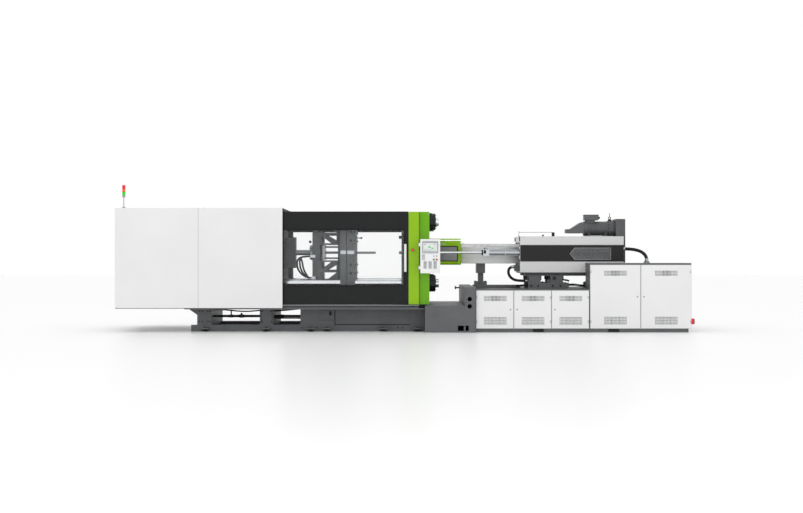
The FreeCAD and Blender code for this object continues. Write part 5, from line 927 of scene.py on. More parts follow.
# ---------------------------------------------------------------- operator panel
@step("Operator panel")
def operator_panel():
    """Screen, keypads, lamps and collars on the face of the operator panel.

    Lays the face out from the housing's left and lower edge and the two buttons.
    """
    left, bottom, face = 306.0, 963.0, -1080.0
    low, high = (left + 29, bottom + 324), (left + 287, bottom + 519)
    bezel = border("y", (face - 7, face + 1), (low[1], low[0]), (high[1], high[0]), 15, 9)
    piece("screen_bezel", bezel, "panel", "bezel_grey")
    page = block((low[0] + 14, face - 3, low[1] + 14), (high[0] - 14, face + 3, high[1] - 14), 2, 0.8, "y")
    piece("screen_page", page, "panel", "display_pale")
    # The page shows plain shapes: green blocks, a heading bar, readings and a row of bars.
    greens = [block((x0, face - 4.2, z0), (x1, face - 2.8, z1), 3, 0.3, "y") for x0, x1, z0, z1 in
              ((428, 462, 1378, 1398), (458, 478, 1370, 1384), (484, 518, 1358, 1377))]
    piece("screen_shapes", greens, "panel", "display_mark")
    bars = [(352, 226, 1456, 9), (360, 46, 1434, 5), (360, 34, 1420, 5), (520, 42, 1436, 5), (520, 30, 1422, 5)]
    bars += [(358 + 27 * i, 20, 1309, 12) for i in range(8)]
    bars += [(352 + 6 * i, 3, 1336, 4 + 9 * abs(math.sin(i * 0.8))) for i in range(34)]
    piece("screen_bars", [block((x, face - 4.2, z), (x + wide, face - 2.8, z + tall), 1.4, 0.3, "y")
                          for x, wide, z, tall in bars], "panel", "display_dark")
    lamp = lathe("y", (0, face, 0), [(1, 3.5), (-5, 3.5), (-8.5, 3.4), (-9.5, 2.4)], 16)
    piece("status_lamps", lamp.copies([(low[0] + 8, 0, low[1] + 8), (low[0] + 20, 0, low[1] + 8)]), "panel",
          "signal_green")
    key = block((-10, face - 4.5, -5), (10, face + 1, 5), 3, 1.4, "y")
    columns = [start + step for start in (370.0, 450.5, 532.0) for step in (0.0, 25.0)]
    keys = spots(columns, 0, np.linspace(1046, 1150, 9))
    keys = np.vstack([keys, spots((342.0, 367.0), 0, np.linspace(1182, 1262, 6))])
    piece("machine_keys", key.copies(keys), "panel", "key_grey")
    # The marks on the keys take the screen's grey and glow with it, though they are printed marks: painted glow.
    mark = block((-4, face - 5.2, -1.2), (4, face - 4, 1.2), 1, 0.2, "y")
    piece("key_marks", mark.copies(keys), "panel", "display_dark")
    frames = [border("y", (face - 1.5, face + 1), (1036, x - 16), (1160, x + 41), 2, 8)
              for x in (370.0, 450.5, 532.0)]
    piece("key_frames", frames, "panel", "panel_line")
    collars = []
    for node in ("start_button", "stop_button"):
        node_low, node_high = corners_of(node)
        middle = (node_low + node_high) / 2
        collars.append(lathe("y", (middle[0], face, middle[2]),
                             [(1, 14.2), (1, 19), (-3, 18.5), (-4, 16), (-4, 14.2)], 36, True))
    piece("button_collars", collars, "panel", "bezel_grey")
    selector = lathe("y", (0, face, 0), [(1, 11), (-3, 11), (-4, 9), (-4, 7), (-8, 6.5), (-8.8, 5)], 28)
    piece("selector_knobs", selector.copies([(524, 0, 1240), (572, 0, 1240)]), "panel", "key_grey")
    back = corners_of("panel_housing")[1][1]
    seam = border("y", (back - 32, back - 29), (bottom - 0.6, left - 0.6), (1515.6, 626.6), 6, 5)
    piece("housing_seam", seam, "panel", "panel_line")
    pins = lathe("z", (294, -1050, 0), [(0, 7.5), (4, 7.5), (6, 5)], 6)
    piece("swivel_pin_heads", pins.copies([(0, 0, bottom + 552 * share + 39) for share in (0.16, 0.84)]),
          "frame", "zinc_plate")


# ---------------------------------------------------------------- nozzle guard and barrel
@step("Nozzle guard")
def nozzle_guard():
    """Folded enamelled guard over the nozzle, with framed windows, a bow handle and screws.

    Folds the sheet round the CAD guard's box and leaves the two windows open.
    """
    low, high = corners_of("nozzle_guard")
    bevel, window = 50.0, ((649.0, 1160.0), (944.0, 1397.0))
    half = high[1] - 1
    line = [(-half, low[2]), (-half, 1160), (-half, 1397), (-half, high[2] - bevel), (-half + bevel, high[2] - 1)]
    line += [(-y, z) for y, z in reversed(line)]

    def solid(middles):
        """False inside the two windows."""
        inside = ((np.abs(middles[:, 1]) > half - 1) & (middles[:, 0] > window[0][0])
                  & (middles[:, 0] < window[1][0]) & (middles[:, 2] > window[0][1])
                  & (middles[:, 2] < window[1][1]))
        return ~inside
    hood = piece("guard_hood", folded("x", (low[0], high[0]), line, solid, (window[0][0], window[1][0])).flipped(),
                 "nozzle_guard", "accent_enamel", ["nozzle_guard"])
    solidify(hood, 2.5)
    # The lip is open below and wide enough to pass over the barrel cover and its support.
    lip = [(y * 0.995, z) for y, z in line] + [(228, low[2]), (228, 1440), (205, 1458), (-205, 1458),
                                               (-228, 1440), (-228, low[2])]
    end = prism("x", (high[0] - 3, high[0] - 0.5), lip)
    piece("guard_end", end, "nozzle_guard", "accent_enamel")
    rims, panes = [], []
    for side in SIDES:
        face = side * half
        levels = sorted((face - side * 6, face + side * 0.9))
        rims.append(border("y", levels, (window[0][1] - 10, window[0][0] - 10),
                           (window[1][1] + 14, window[1][0] + 10), 15, 14))
        panes.append(block((window[0][0] - 4, face - side * 5, window[0][1] - 4),
                           (window[1][0] + 4, face - side * 8, window[1][1] + 4), 3, 0.8))
    piece("guard_window_rims", rims, "nozzle_guard", "grip_black")
    piece("guard_panes", panes, "nozzle_guard", "smoked_pane")
    front = -half
    bow = pipe([(655, front, 1442), (655, front - 22, 1442), (662, front - 32, 1442), (690, front - 34, 1442),
                (720, front - 32, 1442), (728, front - 22, 1442), (728, front, 1442)], 6)
    feet = rod("y", (0, front - 4, 1442), 5, 11, 1, 24).copies([(655, 0, 0), (728, 0, 0)])
    piece("guard_handle", joined(bow, feet), "nozzle_guard", "zinc_plate")
    thread = size("cover_screw") * 0.7
    screws = joined(*[button_screw("y", thread, side).copies(
        spots((low[0] + 30, 600, high[0] - 24), side * half, (low[2] + 24, 1450))) for side in SIDES])
    piece("guard_screws", screws, "nozzle_guard", "zinc_plate")


@step("Barrel cover")
def barrel_cover():
    """Insulated barrel cover with bevelled vent strips, pressed ovals and ridge lines, and the band clamps.

    Folds the cover along X; each bevelled strip carries seven pressed ovals.
    """
    low, high = corners_of("barrel_cover")
    left, right, half = low[0], high[0] - 1, high[1] - 1
    shoulder, inset = 1386.0, 34.0
    # Points close to each fold keep the flat parts between them flat in their shading.
    line = [(-half + 30, low[2] + 1), (-half + 9, low[2] + 1), (-half + 3, low[2] + 3), (-half, low[2] + 9),
            (-half, low[2] + 14), (-half, 1186), (-half, 1190), (-half + 2, 1194), (-half + 2, 1206),
            (-half, 1210), (-half, 1214), (-half, shoulder - 4), (-half, shoulder)]
    roof = [(-half + inset, high[2] - 1)]
    mirror = [(-y, z) for y, z in reversed(line + roof)]
    skin_line = line + [(-half + 1.5, shoulder + 1)] + roof + mirror
    cover = piece("barrel_cover_skin", folded("x", (left, right), skin_line).flipped(), "carriage", "cover_white",
                  ["barrel_cover"])
    solidify(cover, 2.0)
    outline = [(-half, shoulder), (-half + inset, high[2] - 1), (half - inset, high[2] - 1), (half, shoulder),
               (half, low[2] + 2), (-half, low[2] + 2)]
    hole = [(-124, 1340), (-80, 1415), (80, 1415), (124, 1340), (124, 1186), (-124, 1186)]
    piece("barrel_cover_end", plate_with_hole("x", (left, left + 2.5), outline, hole), "carriage", "cover_white")
    strips, ovals, lips = [], [], []
    slope = math.hypot(inset, high[2] - 1 - shoulder)
    for side in SIDES:
        up = np.array([0.0, -side * inset / slope, (high[2] - 1 - shoulder) / slope])
        normal = np.array([0.0, side * up[2], inset / slope])
        base = np.array([0.0, side * half, shoulder])
        for low_share, high_share, rise in ((0.04, 0.13, 2.6), (0.87, 0.96, 2.6), (0.14, 0.86, 0.8)):
            near, far = base + up * slope * low_share, base + up * slope * high_share
            ends = [near, far, far + normal * rise, near + normal * rise]
            strips.append(prism("x", (left + 6, right - 4), [(point[1], point[2]) for point in ends]))
        for x in np.arange(1242.0, 1960.0, 115.2):
            centre = base + up * slope * 0.5 + normal * 0.8 + np.array([x, 0, 0])
            way = np.array([-side, 0.0, 0.0])
            lips.append(oval(centre, way, up, 33, 19, 3.2))
            ovals.append(oval(centre + normal * 0.4, way, up, 25, 12, 1.2))
    piece("vent_strips", strips, "carriage", "unit_grey")
    piece("vent_ovals", lips, "carriage", "cover_white")
    # The slots in the pressed ovals are flat black for the shade inside them: painted shade.
    piece("vent_oval_slots", ovals, "carriage", "dark_inside")
    latch = block((1026, -half - 6, 1452 - 66), (1062, -half, 1452 - 40), 4, 1.5, "y")
    toggle = pipe([(1010, -half - 2, 1470), (1024, -half - 6, 1462), (1052, -half - 6, 1458),
                   (1060, -half - 3, 1440)], 4)
    piece("cover_clip", joined(latch, toggle), "carriage", "zinc_plate")
    clamps, screws, leads = [], [], []
    for x in np.arange(corners_of("heater_bands")[0][0] + 75, 1000, 170.0):
        clamps.append(washer("x", (x - 60, 0, AXIS), 14, 127, 121, 1).copies([(0, 0, 0), (106, 0, 0)]))
        screws.append(block((x - 30, -134, AXIS - 14), (x + 30, -120, AXIS + 14), 4, 2))
        leads.append(pipe([(x, -124, AXIS - 60), (x, -146, AXIS - 66), (x + 20, -150, AXIS - 96),
                           (x + 80, -146, AXIS - 118), (x + 140, -136, AXIS - 122)], 6))
    piece("band_clamps", clamps, "carriage", "zinc_plate")
    piece("band_terminals", screws, "carriage", "bezel_grey")
    piece("band_conduits", leads, "carriage", "zinc_plate")
    nozzle = joined(lathe("x", (100, 0, AXIS), [(0, 40), (3, 44), (44, 44), (47, 40)], 6),
                    washer("x", (60, 0, AXIS), 34, 36, 24, 1.5))
    piece("nozzle_hexagon", nozzle, "carriage", "black_oxide")


@step("Carriage cylinders")
def pull_cylinders():
    """Glands, tie rods, ports and pipes of the two carriage cylinders.

    Adds the fittings of one cylinder and mirrors them.
    """
    centre, rod_fit = (-330.0, AXIS), 18.6
    head = joined(washer("x", (1344, *centre), 24, 38, rod_fit, 2),
                  socket_screw("x", 9, -1).copies(
                      [(1366, -330 + y, AXIS + z) for y in (-40, 40) for z in (-40, 40)]),
                  block((1376, -386, AXIS - 18), (1416, -400, AXIS + 40), 4, 2),
                  rod("z", (1396, -372, AXIS + 54), 22, 12, 2, 6),
                  hex_screw("z", 15, 1, (1440, -330, AXIS + 54)))
    piece("cylinder_glands", on_both(head), "carriage", "black_oxide")
    ties = [rod("x", (1466, -330 + y, AXIS + z), 528, 6, 1, 12) for y in (-44, 44) for z in (-44, 44)]
    ties.append(block((1986, -384, AXIS - 54), (1998, -276, AXIS + 54), 6, 2))
    ties.append(block((1730, -381, AXIS - 50), (1750, -279, AXIS + 50), 6, 2))
    piece("cylinder_tie_rods", on_both(joined(*ties)), "carriage", "zinc_plate")
    supply = pipe([(1396, -372, AXIS + 74), (1396, -372, AXIS + 96), (1420, -372, AXIS + 104),
                   (1600, -372, AXIS + 104), (1900, -372, AXIS + 104), (1990, -372, AXIS + 104)], 7)
    piece("cylinder_pipes", on_both(supply), "carriage", "zinc_plate")
    nuts = joined(washer("x", (402, *centre), 40, 34, rod_fit, 3, 6),
                  washer("x", (442, *centre), 14, 28, rod_fit, 2))
    piece("rod_nuts", on_both(nuts), "frame", "black_oxide")


# ---------------------------------------------------------------- injection unit
@step("Injection unit")
def injection_unit():
    """Band with its window, roof rail, knobs, seams, screws and inner pipes of the injection unit.

    Cuts the window into new bands on both sides and sets out the fittings from the cover's corners.
    """
    low, high = corners_of("unit_bands")
    cover_low, cover_high = corners_of("unit_cover")
    window = [(1280.0, 2818.0), (1187.0, 2896.0), (1187.0, 3492.0), (1373.0, 3492.0), (1373.0, 2896.0)]
    outer = [(1280.0, low[0]), (low[2], low[0]), (low[2], high[0]), (high[2], high[0]), (high[2], low[0])]
    wide = [((z - 1280) * 1.07 + 1280, (x - 3190) * 1.02 + 3190) for z, x in window]
    bands, rims, panes = [], [], []
    for side in SIDES:
        face = side * high[1]
        levels = sorted((face, face - side * 3))
        bands.append(plate_with_hole("y", levels, outer, window))
        rims.append(plate_with_hole("y", sorted((face - side * 2, face + side * 2.5)), wide, window))
        panes.append(prism("y", sorted((face - side * 6, face - side * 4)), window))
    piece("unit_band_skins", bands, "carriage", "band_black", ["unit_bands"])
    piece("unit_window_rims", rims, "carriage", "bezel_grey")
    piece("unit_window_panes", panes, "carriage", "tinted_pane")
    # Behind the window: scale rail, valve block, cable chain and the stroke sensor's two caps.
    scale = joined(block((2850, -432, 1212), (3480, -424, 1232), 3, 1, "x"),
                   block((2850, -430, 1318), (3480, -418, 1334), 3, 1, "x"))
    piece("stroke_rails", scale, "carriage", "zinc_plate")
    sensor = joined(*[block((left, -431, bottom), (right, -404, top), 5, 2) for left, right, bottom, top in (
        (2950, 3006, 1242, 1308), (3066, 3150, 1240, 1312), (3186, 3214, 1240, 1360), (3250, 3300, 1240, 1360),
        (3330, 3460, 1240, 1306))])
    piece("sensor_blocks", sensor, "carriage", "motor_paint")
    piece("sensor_cap_white", lathe("y", (2862, -404, 1290), [(0, 22), (-20, 22), (-26, 18), (-29, 8)], 28),
          "carriage", "panel_white")
    piece("sensor_cap_red", lathe("y", (2936, -404, 1286), [(0, 10), (-22, 10), (-27, 7)], 24), "carriage",
          "red_with_painted_glow")
    rail = pipe([(x, -300, z) for x, z in (
        (1972, 1574), (1972, 1620), (1972, 1640), (2000, 1640), (2200, 1640), (2500, 1640), (2540, 1640),
        (2548, 1628), (2548, 1604))], 6)
    feet = rod("z", (1972, -300, 1570), 10, 16, 2, 24)
    clamp = joined(block((2526, -318, 1572), (2572, -282, 1640), 5, 2), socket_screw("y", 7, -1, (2549, -318, 1618)))
    piece("roof_rail", joined(rail, feet, rod("z", (1972, -300, 1640), 16, 10, 4, 20)), "carriage", "zinc_plate")
    piece("roof_rail_clamp", clamp, "carriage", "gate_black")
    knob = lathe("z", (2378, -300, 1570), [(0, 16), (6, 16), (8, 9), (14, 9), (17, 20), (26, 20), (30, 14)], 24)
    stand = block((1966, -442, 1492), (1979.5, -404, 1562), 4, 2)
    piece("roof_knob", knob, "carriage", "grip_black")
    piece("front_latch", on_both(stand), "carriage", "grip_black")
    front = [block((1962, side * 436, level), (1979, side * 400, level + 46), 4, 2) for side in SIDES
             for level in (1196, 1352)]
    piece("front_hinges", front, "carriage", "zinc_plate")
    thread = size("cover_screw")
    screws = [button_screw("y", thread, side).copies(np.vstack([
        spots(np.linspace(cover_low[0] + 50, cover_high[0] - 50, 6), side * UNIT_HALF, (level,))
        for level in (1548.0, 992.0)])) for side in SIDES]
    screws.append(button_screw("z", thread, 1).copies(
        spots(np.linspace(cover_low[0] + 80, 2900, 4), (-400, 400), 1571)))
    piece("unit_screws", screws, "carriage", "zinc_plate")
    seams = [block((cover_low[0] + 2, side * (UNIT_HALF + 0.5), level),
                   (cover_high[0] - 2, side * (UNIT_HALF - 2), level + 4), 1, 0.4, "x")
             for side in SIDES for level in (high[2] + 2, low[2] - 8)]
    piece("unit_band_seams", seams, "carriage", "bezel_grey")
    # The cover's lower edge rests on a black gasket along the carriage rail.
    gasket = block((2070, -436, 940), (3060, -404, 969), 3, 1, "x")
    piece("rail_gasket", on_both(gasket), "carriage", "grip_black")


@step("Drive motor")
def drive_motor():
    """Screw drive motor: air hood, finned barrel, junction box with its gland, end bell, fan grille and eye bolt.

    Turns the barrel and bell about the motor's axis and folds the hood from the CAD outline.
    """
    height = AXIS + 410.0
    middle = (0.0, height)
    barrel = joined(finned("x", (3150, *middle), 340, 122, 17, 5),
                    lathe("x", (3096, *middle), [(0, 112), (4, 122), (50, 124), (56, 117)]),
                    lathe("x", (3486, *middle), [(0, 117), (4, 124), (56, 124), (61, 118)]))
    piece("motor_barrel", barrel, "thrust", "motor_paint", ["drive_motor"])
    bell = joined(lathe("x", (3517, *middle), [(0, 118), (6, 136), (22, 138), (30, 128), (60, 126), (64, 134),
                                               (76, 136), (84, 131), (107, 130), (108, 112)]),
                  block((3520, -10, height + 112), (3620, 10, height + 140), 3, 2))
    piece("motor_bell", bell, "thrust", "motor_paint")
    bolts = hex_screw("x", 11, -1).copies(
        [(3517, 127 * math.cos(a), height + 127 * math.sin(a)) for a in np.arange(12) * math.pi / 6])
    piece("motor_bolts", bolts, "thrust", "black_oxide")
    outline = [(height + rise, 3096 + x) for rise, x in (
        (-79, -300), (-79, 0), (105, 0), (105, -40), (98, -58), (-4, -218), (-13, -236), (-13, -300))]
    hood = prism("y", (-116, 116), outline)
    lips = [prism("y", ends, outline) for ends in ((-121, -115), (115, 121))]
    grille = [block((2793, -108, height - 72 + 9 * i), (2800, 108, height - 68 + 9 * i), 1, 0.5, "y")
              for i in range(7)]
    ribs = [block((2850 + 44 * i, -118, height - 84), (2856 + 44 * i, 118, height - 76), 1, 0.5, "y")
            for i in range(5)]
    piece("motor_air_hood", joined(hood, *lips, *grille, *ribs), "thrust", "motor_paint")
    box = joined(block((3107, -95, height + 140), (3347, 95, height + 222), 12, 5),
                 block((3102, -98, height + 220), (3352, 98, height + 235), 12, 4),
                 block((3130, -62, height + 84), (3290, 62, height + 142), 12, 3))
    piece("junction_box", box, "thrust", "motor_paint")
    screws = socket_screw("z", 8, 1).copies(spots((3122, 3332), (-80, 80), height + 231))
    gland = joined(*[rod("x", (x, y, height + 182), long, radius, edge, sides)
                     for x, y, long, radius, edge, sides in (
                         (3347, -40, 10, 26, 2, 6), (3357, -40, 18, 20, 5, 24),
                         (3347, 36, 10, 20, 2, 6), (3357, 36, 12, 15, 4, 24))])
    piece("junction_screws", screws, "thrust", "zinc_plate")
    piece("cable_glands", gland, "thrust", "grip_black")
    feet = joined(*[block((x, -half, bottom), (x + long, half, top), 5, 2)
                    for x, long, half, bottom, top in ((3156, 50, 124, 1584, 1606), (3437, 50, 124, 1584, 1606),
                                                       (3166, 30, 96, 1600, 1640), (3447, 30, 96, 1600, 1640))])
    piece("motor_feet", feet, "thrust", "motor_paint")
    piece("motor_foot_bolts", hex_screw("z", 13, 1).copies(spots((3181, 3462), (-110, 110), 1606)),
          "thrust", "black_oxide")
    ring = washer("y", (3547, -7, height + 176), 14, 27, 15, 5)
    eye = joined(rod("z", (3547, 0, height + 122), 20, 18, 3), ring,
                 rod("z", (3547, 0, height + 200), 62, 5, 2, 16), rod("z", (3547, 0, height + 138), 14, 30, 6, 24))
    piece("motor_eye_bolt", eye, "thrust", "grip_black")
    # Belt box: stiffening ribs, cover flange and its screws.
    low, high = corners_of("belt_box")
    ribs = [block((x, side * 186, low[2] + 30), (x + 12, side * 195, high[2] - 8), 3, 2) for side in SIDES
            for x in (3652, 3690, 3728)]
    lid = [block((high[0] - 9, -194, low[2] + 2), (high[0] - 1, 194, high[2] + 1), 8, 2, "x"),
           block((low[0] + 2, -192, high[2] - 4), (high[0] - 8, 192, high[2] + 2), 4, 1)]
    piece("belt_box_ribs", joined(*ribs, *lid), "thrust", "motor_paint")
    edge = np.vstack([spots(high[0] - 2, (-180, 180), np.linspace(low[2] + 20, high[2] - 20, 7)),
                      spots(high[0] - 2, (-60, 60), (low[2] + 14, high[2] - 14))])
    piece("belt_box_screws", button_screw("x", 7, 1).copies(edge - np.array([5, 0, 0])), "thrust",
          "zinc_plate")


# ---------------------------------------------------------------- beds, cabinets and bases
@step("Bed fittings")
def bed_fittings():
    """Bolts, wipers, bosses, valve and locating pin on the beds, the barrel support and the end block.

    Sets the fittings out along both guide beds.
    """
    bolt = size("plate_bolt")
    bolts = [hex_screw("y", bolt * 0.6, side).copies(
        spots((2170, 2285, 2530, 2660, 3290, 3410), side * 410, (745,))) for side in SIDES]
    bolts.append(hex_screw("z", bolt * 0.6, 1).copies(
        spots((2380, 2440, 2745, 3180, 3510), (-340, 340), 794)))
    piece("bed_bolts", bolts, "frame", "black_oxide")
    wipers = [block((x, side * 412, 842), (x + 12, side * 300, 909), 4, 2) for side in SIDES
              for x in (2113, 2330, 2478, 2700, 3238, 3450)]
    piece("shoe_wipers", wipers, "frame", "grip_black")
    boss = [lathe("y", (2556, side * 408, 874), [(0, 27), (side * 22, 27), (side * 26, 23), (side * 26, 12),
                                                 (side * 14, 11)], 28) for side in SIDES]
    piece("saddle_bosses", boss, "frame", "black_oxide")
    # Black pipes and a stop that lie on the deck beside the beds.
    lines = [pipe([(1905, -300, 745), (1990, -300, 745), (2060, -330, 752), (2125, -350, 752)], 17),
             pipe([(2800, -380, 760), (2890, -380, 766), (2960, -372, 752), (3054, -372, 744)], 19),
             pipe([(2690, -414, 850), (2740, -414, 838), (2775, -414, 838), (2800, -400, 826)], 14)]
    piece("deck_pipes", lines, "frame", "hose_rubber")
    stops = joined(block((1870, -330, 733), (1925, -270, 762), 5, 2),
                   block((2440, -404, 794), (2482, -300, 852), 6, 2),
                   block((2880, -400, 741), (2990, -330, 768), 5, 2),
                   block((2556, -404, 800), (2600, -296, 850), 6, 2))
    piece("bed_stops", stops, "frame", "structure_paint")
    fixings = joined(hex_screw("z", 13, 1).copies(spots((1262, 1428), (-105, 105), 811)),
                     hex_screw("y", 15, -1, (1335, -150, 803)),
                     block((1268, -153, 1204), (1421, -146, 1226), 4, 2))
    piece("support_bolts", fixings, "carriage", "structure_paint")
    knob = joined(rod("x", (895, -880, 725), 60, 11, 1, 16), lathe("x", (869, -880, 725), [
        (0, 16), (4, 28), (12, 30), (18, 28), (20, 14), (34, 13)], 24))
    piece("block_knob", knob, "frame", "grip_black")
    rims = [washer("y", (1106, -1050.5, z), 6, 38, 32.5, 1.5) for z in (543, 426)]
    rims.append(block((1040, -1049, 590), (1196, -1046, 594), 1, 0.5, "x"))
    piece("block_hole_rims", rims, "frame", "grip_black")
    recess = border("y", (-1050.4, -1044), (112, 915), (116.5, 1091), 2, 2)
    brackets = [block((x, -1050, 600), (x + 6, -1040, 716), 2, 1) for x in (1040, 1190)]
    piece("block_trims", joined(recess, *brackets), "frame", "structure_paint")


def vent_backing(left, width, bottom, height, face):
    """Mesh panel behind a row of slots: two outer thirds and a middle third."""
    third, lap = width / 3, 8
    panels = [block((left - lap + third * i, face, bottom - lap),
                    (left + lap + third * (i + 1), face + 2, bottom + height + lap), 2, 0.5, "y")
              for i in range(3)]
    return joined(panels[0], panels[2]), panels[1]


@step("Cabinets")
def cabinets():
    """Vent meshes and louvre hoods, locks, hinges and seals of the doors, roof trim and the mains switch.

    Dresses each door from its own corners, then the roof, the plinth and the switch.
    """
    for i in range(1, 6):
        name, large = "door_%d" % i, i > 3
        low, high = corners_of(name)
        start, wide = (229, 364) if large else (127, 365)
        rows = ((low[2] + 64, 132), (high[2] - (181 if large else 176), 88))
        pale, dark, hoods = [], [], []
        for bottom, tall in rows:
            sides, middle = vent_backing(low[0] + start, wide, bottom, tall, low[1] + 4.5)
            pale.append(sides)
            # In each short row the middle third is flat black, for the shade behind the mesh: painted shade.
            (pale if tall > 100 else dark).append(middle)
            # Pressed zigzag between the slots: a lens-shaped rib on every land, in two or three tiers.
            pitch = (wide - 9) / 16
            tiers = 2 if tall < 100 else 3
            for column in range(16):
                x = low[0] + start + 9 + column * pitch + (pitch - 9) / 2
                for tier in range(tiers):
                    z = bottom + tall * (tier + 0.5) / tiers
                    hoods.append(oval((x, low[1] + 0.4, z), (1, 0, 0), (0, 0, 1), 5.6, 15, 3.2, 12))
        piece(name + "_vent_sides", pale, name, "vent_mesh")
        piece(name + "_vent_middle", dark, name, "dark_inside")
        piece(name + "_vent_ribs", hoods, name, "vent_rib")
        right_hung = i in (2, 3, 5)
        free, hung = (low[0], high[0]) if right_hung else (high[0], low[0])
        inward = 1 if right_hung else -1
        lock = (free + inward * 50, low[1], 580 if large else 371)
        piece(name + "_lock", joined(washer("y", lock - np.array([0, 3, 0]), 4, 13, 9.2, 1, 24),
                                     rod("y", lock - np.array([0, 1.5, 0]), 3, 9, 0.5, 16)),
              name, "bezel_grey")
        barrels = [joined(rod("z", (hung - inward * 6, low[1] - 1, z), 46, 6, 1.5, 16),
                          block((hung - inward * 2, low[1] - 2.5, z + 2), (hung - inward * 22, low[1] + 1, z + 44),
                                3, 1, "y"))
                   for z in (low[2] + 90, high[2] - 136)]
        piece(name + "_hinges", barrels, name, "zinc_plate")
        # A grey strip round each door's edge widens the dark seam beside it: painted shade.
        seam_shade_strip = border("y", (low[1] - 0.6, low[1] + 2), (low[2] + 0.5, low[0] + 0.5),
                      (high[2] - 0.5, high[0] - 0.5), 5, 6)
        piece(name + "_painted_seam_shade", seam_shade_strip, name, "vent_rib")
    low, high = corners_of("drive_cabinet")
    trim = joined(block((3055, -1001, 1100), (4713, -994, 1128), 4, 2, "x"),
                  block((3060, -999.5, 1099), (4712, -482, 1103), 2, 1))
    piece("cabinet_roof_trim", trim, "frame", "structure_paint")
    plinths = [block((x, -1001, 12), (x + 175, -997, 56), 4, 1, "y") for x in (2137, 3363)]
    piece("plinth_plates", plinths, "frame", "gate_black")
    plate = lathe("x", (4712, -928, 175), [(-1, 56), (6, 56), (9, 53)], 48)
    piece("mains_switch_plate", plate, "frame", "grip_black")
    grip = joined(lathe("x", (4712, -928, 175), [(8, 49), (34, 50), (46, 49.5), (52, 46), (52, 30)], 48),
                  block((4758, -940, 131), (4774, -916, 219), 8, 3))
    piece("mains_switch_grip", grip, "frame", "red_with_painted_glow")
    vents = [block((4700, y, z + rise), (4713.5, y + 300, z + rise + 7), 2, 1, "y")
             for y, z in ((-910, 860), (-330, 460), (200, 460)) for rise in np.arange(0, 160, 18)]
    piece("end_vents", vents, "frame", "vent_mesh")
    gland_low = np.array([4074.0, -546.0, 1127.0])
    ring = joined(washer("z", gland_low, 8, 56, 30, 2), socket_screw("z", 6, 1).copies(
        [gland_low + (50 * math.cos(a), 50 * math.sin(a), 8) for a in np.arange(6) * math.pi / 3]))
    piece("gland_flange", ring, "frame", "zinc_plate")


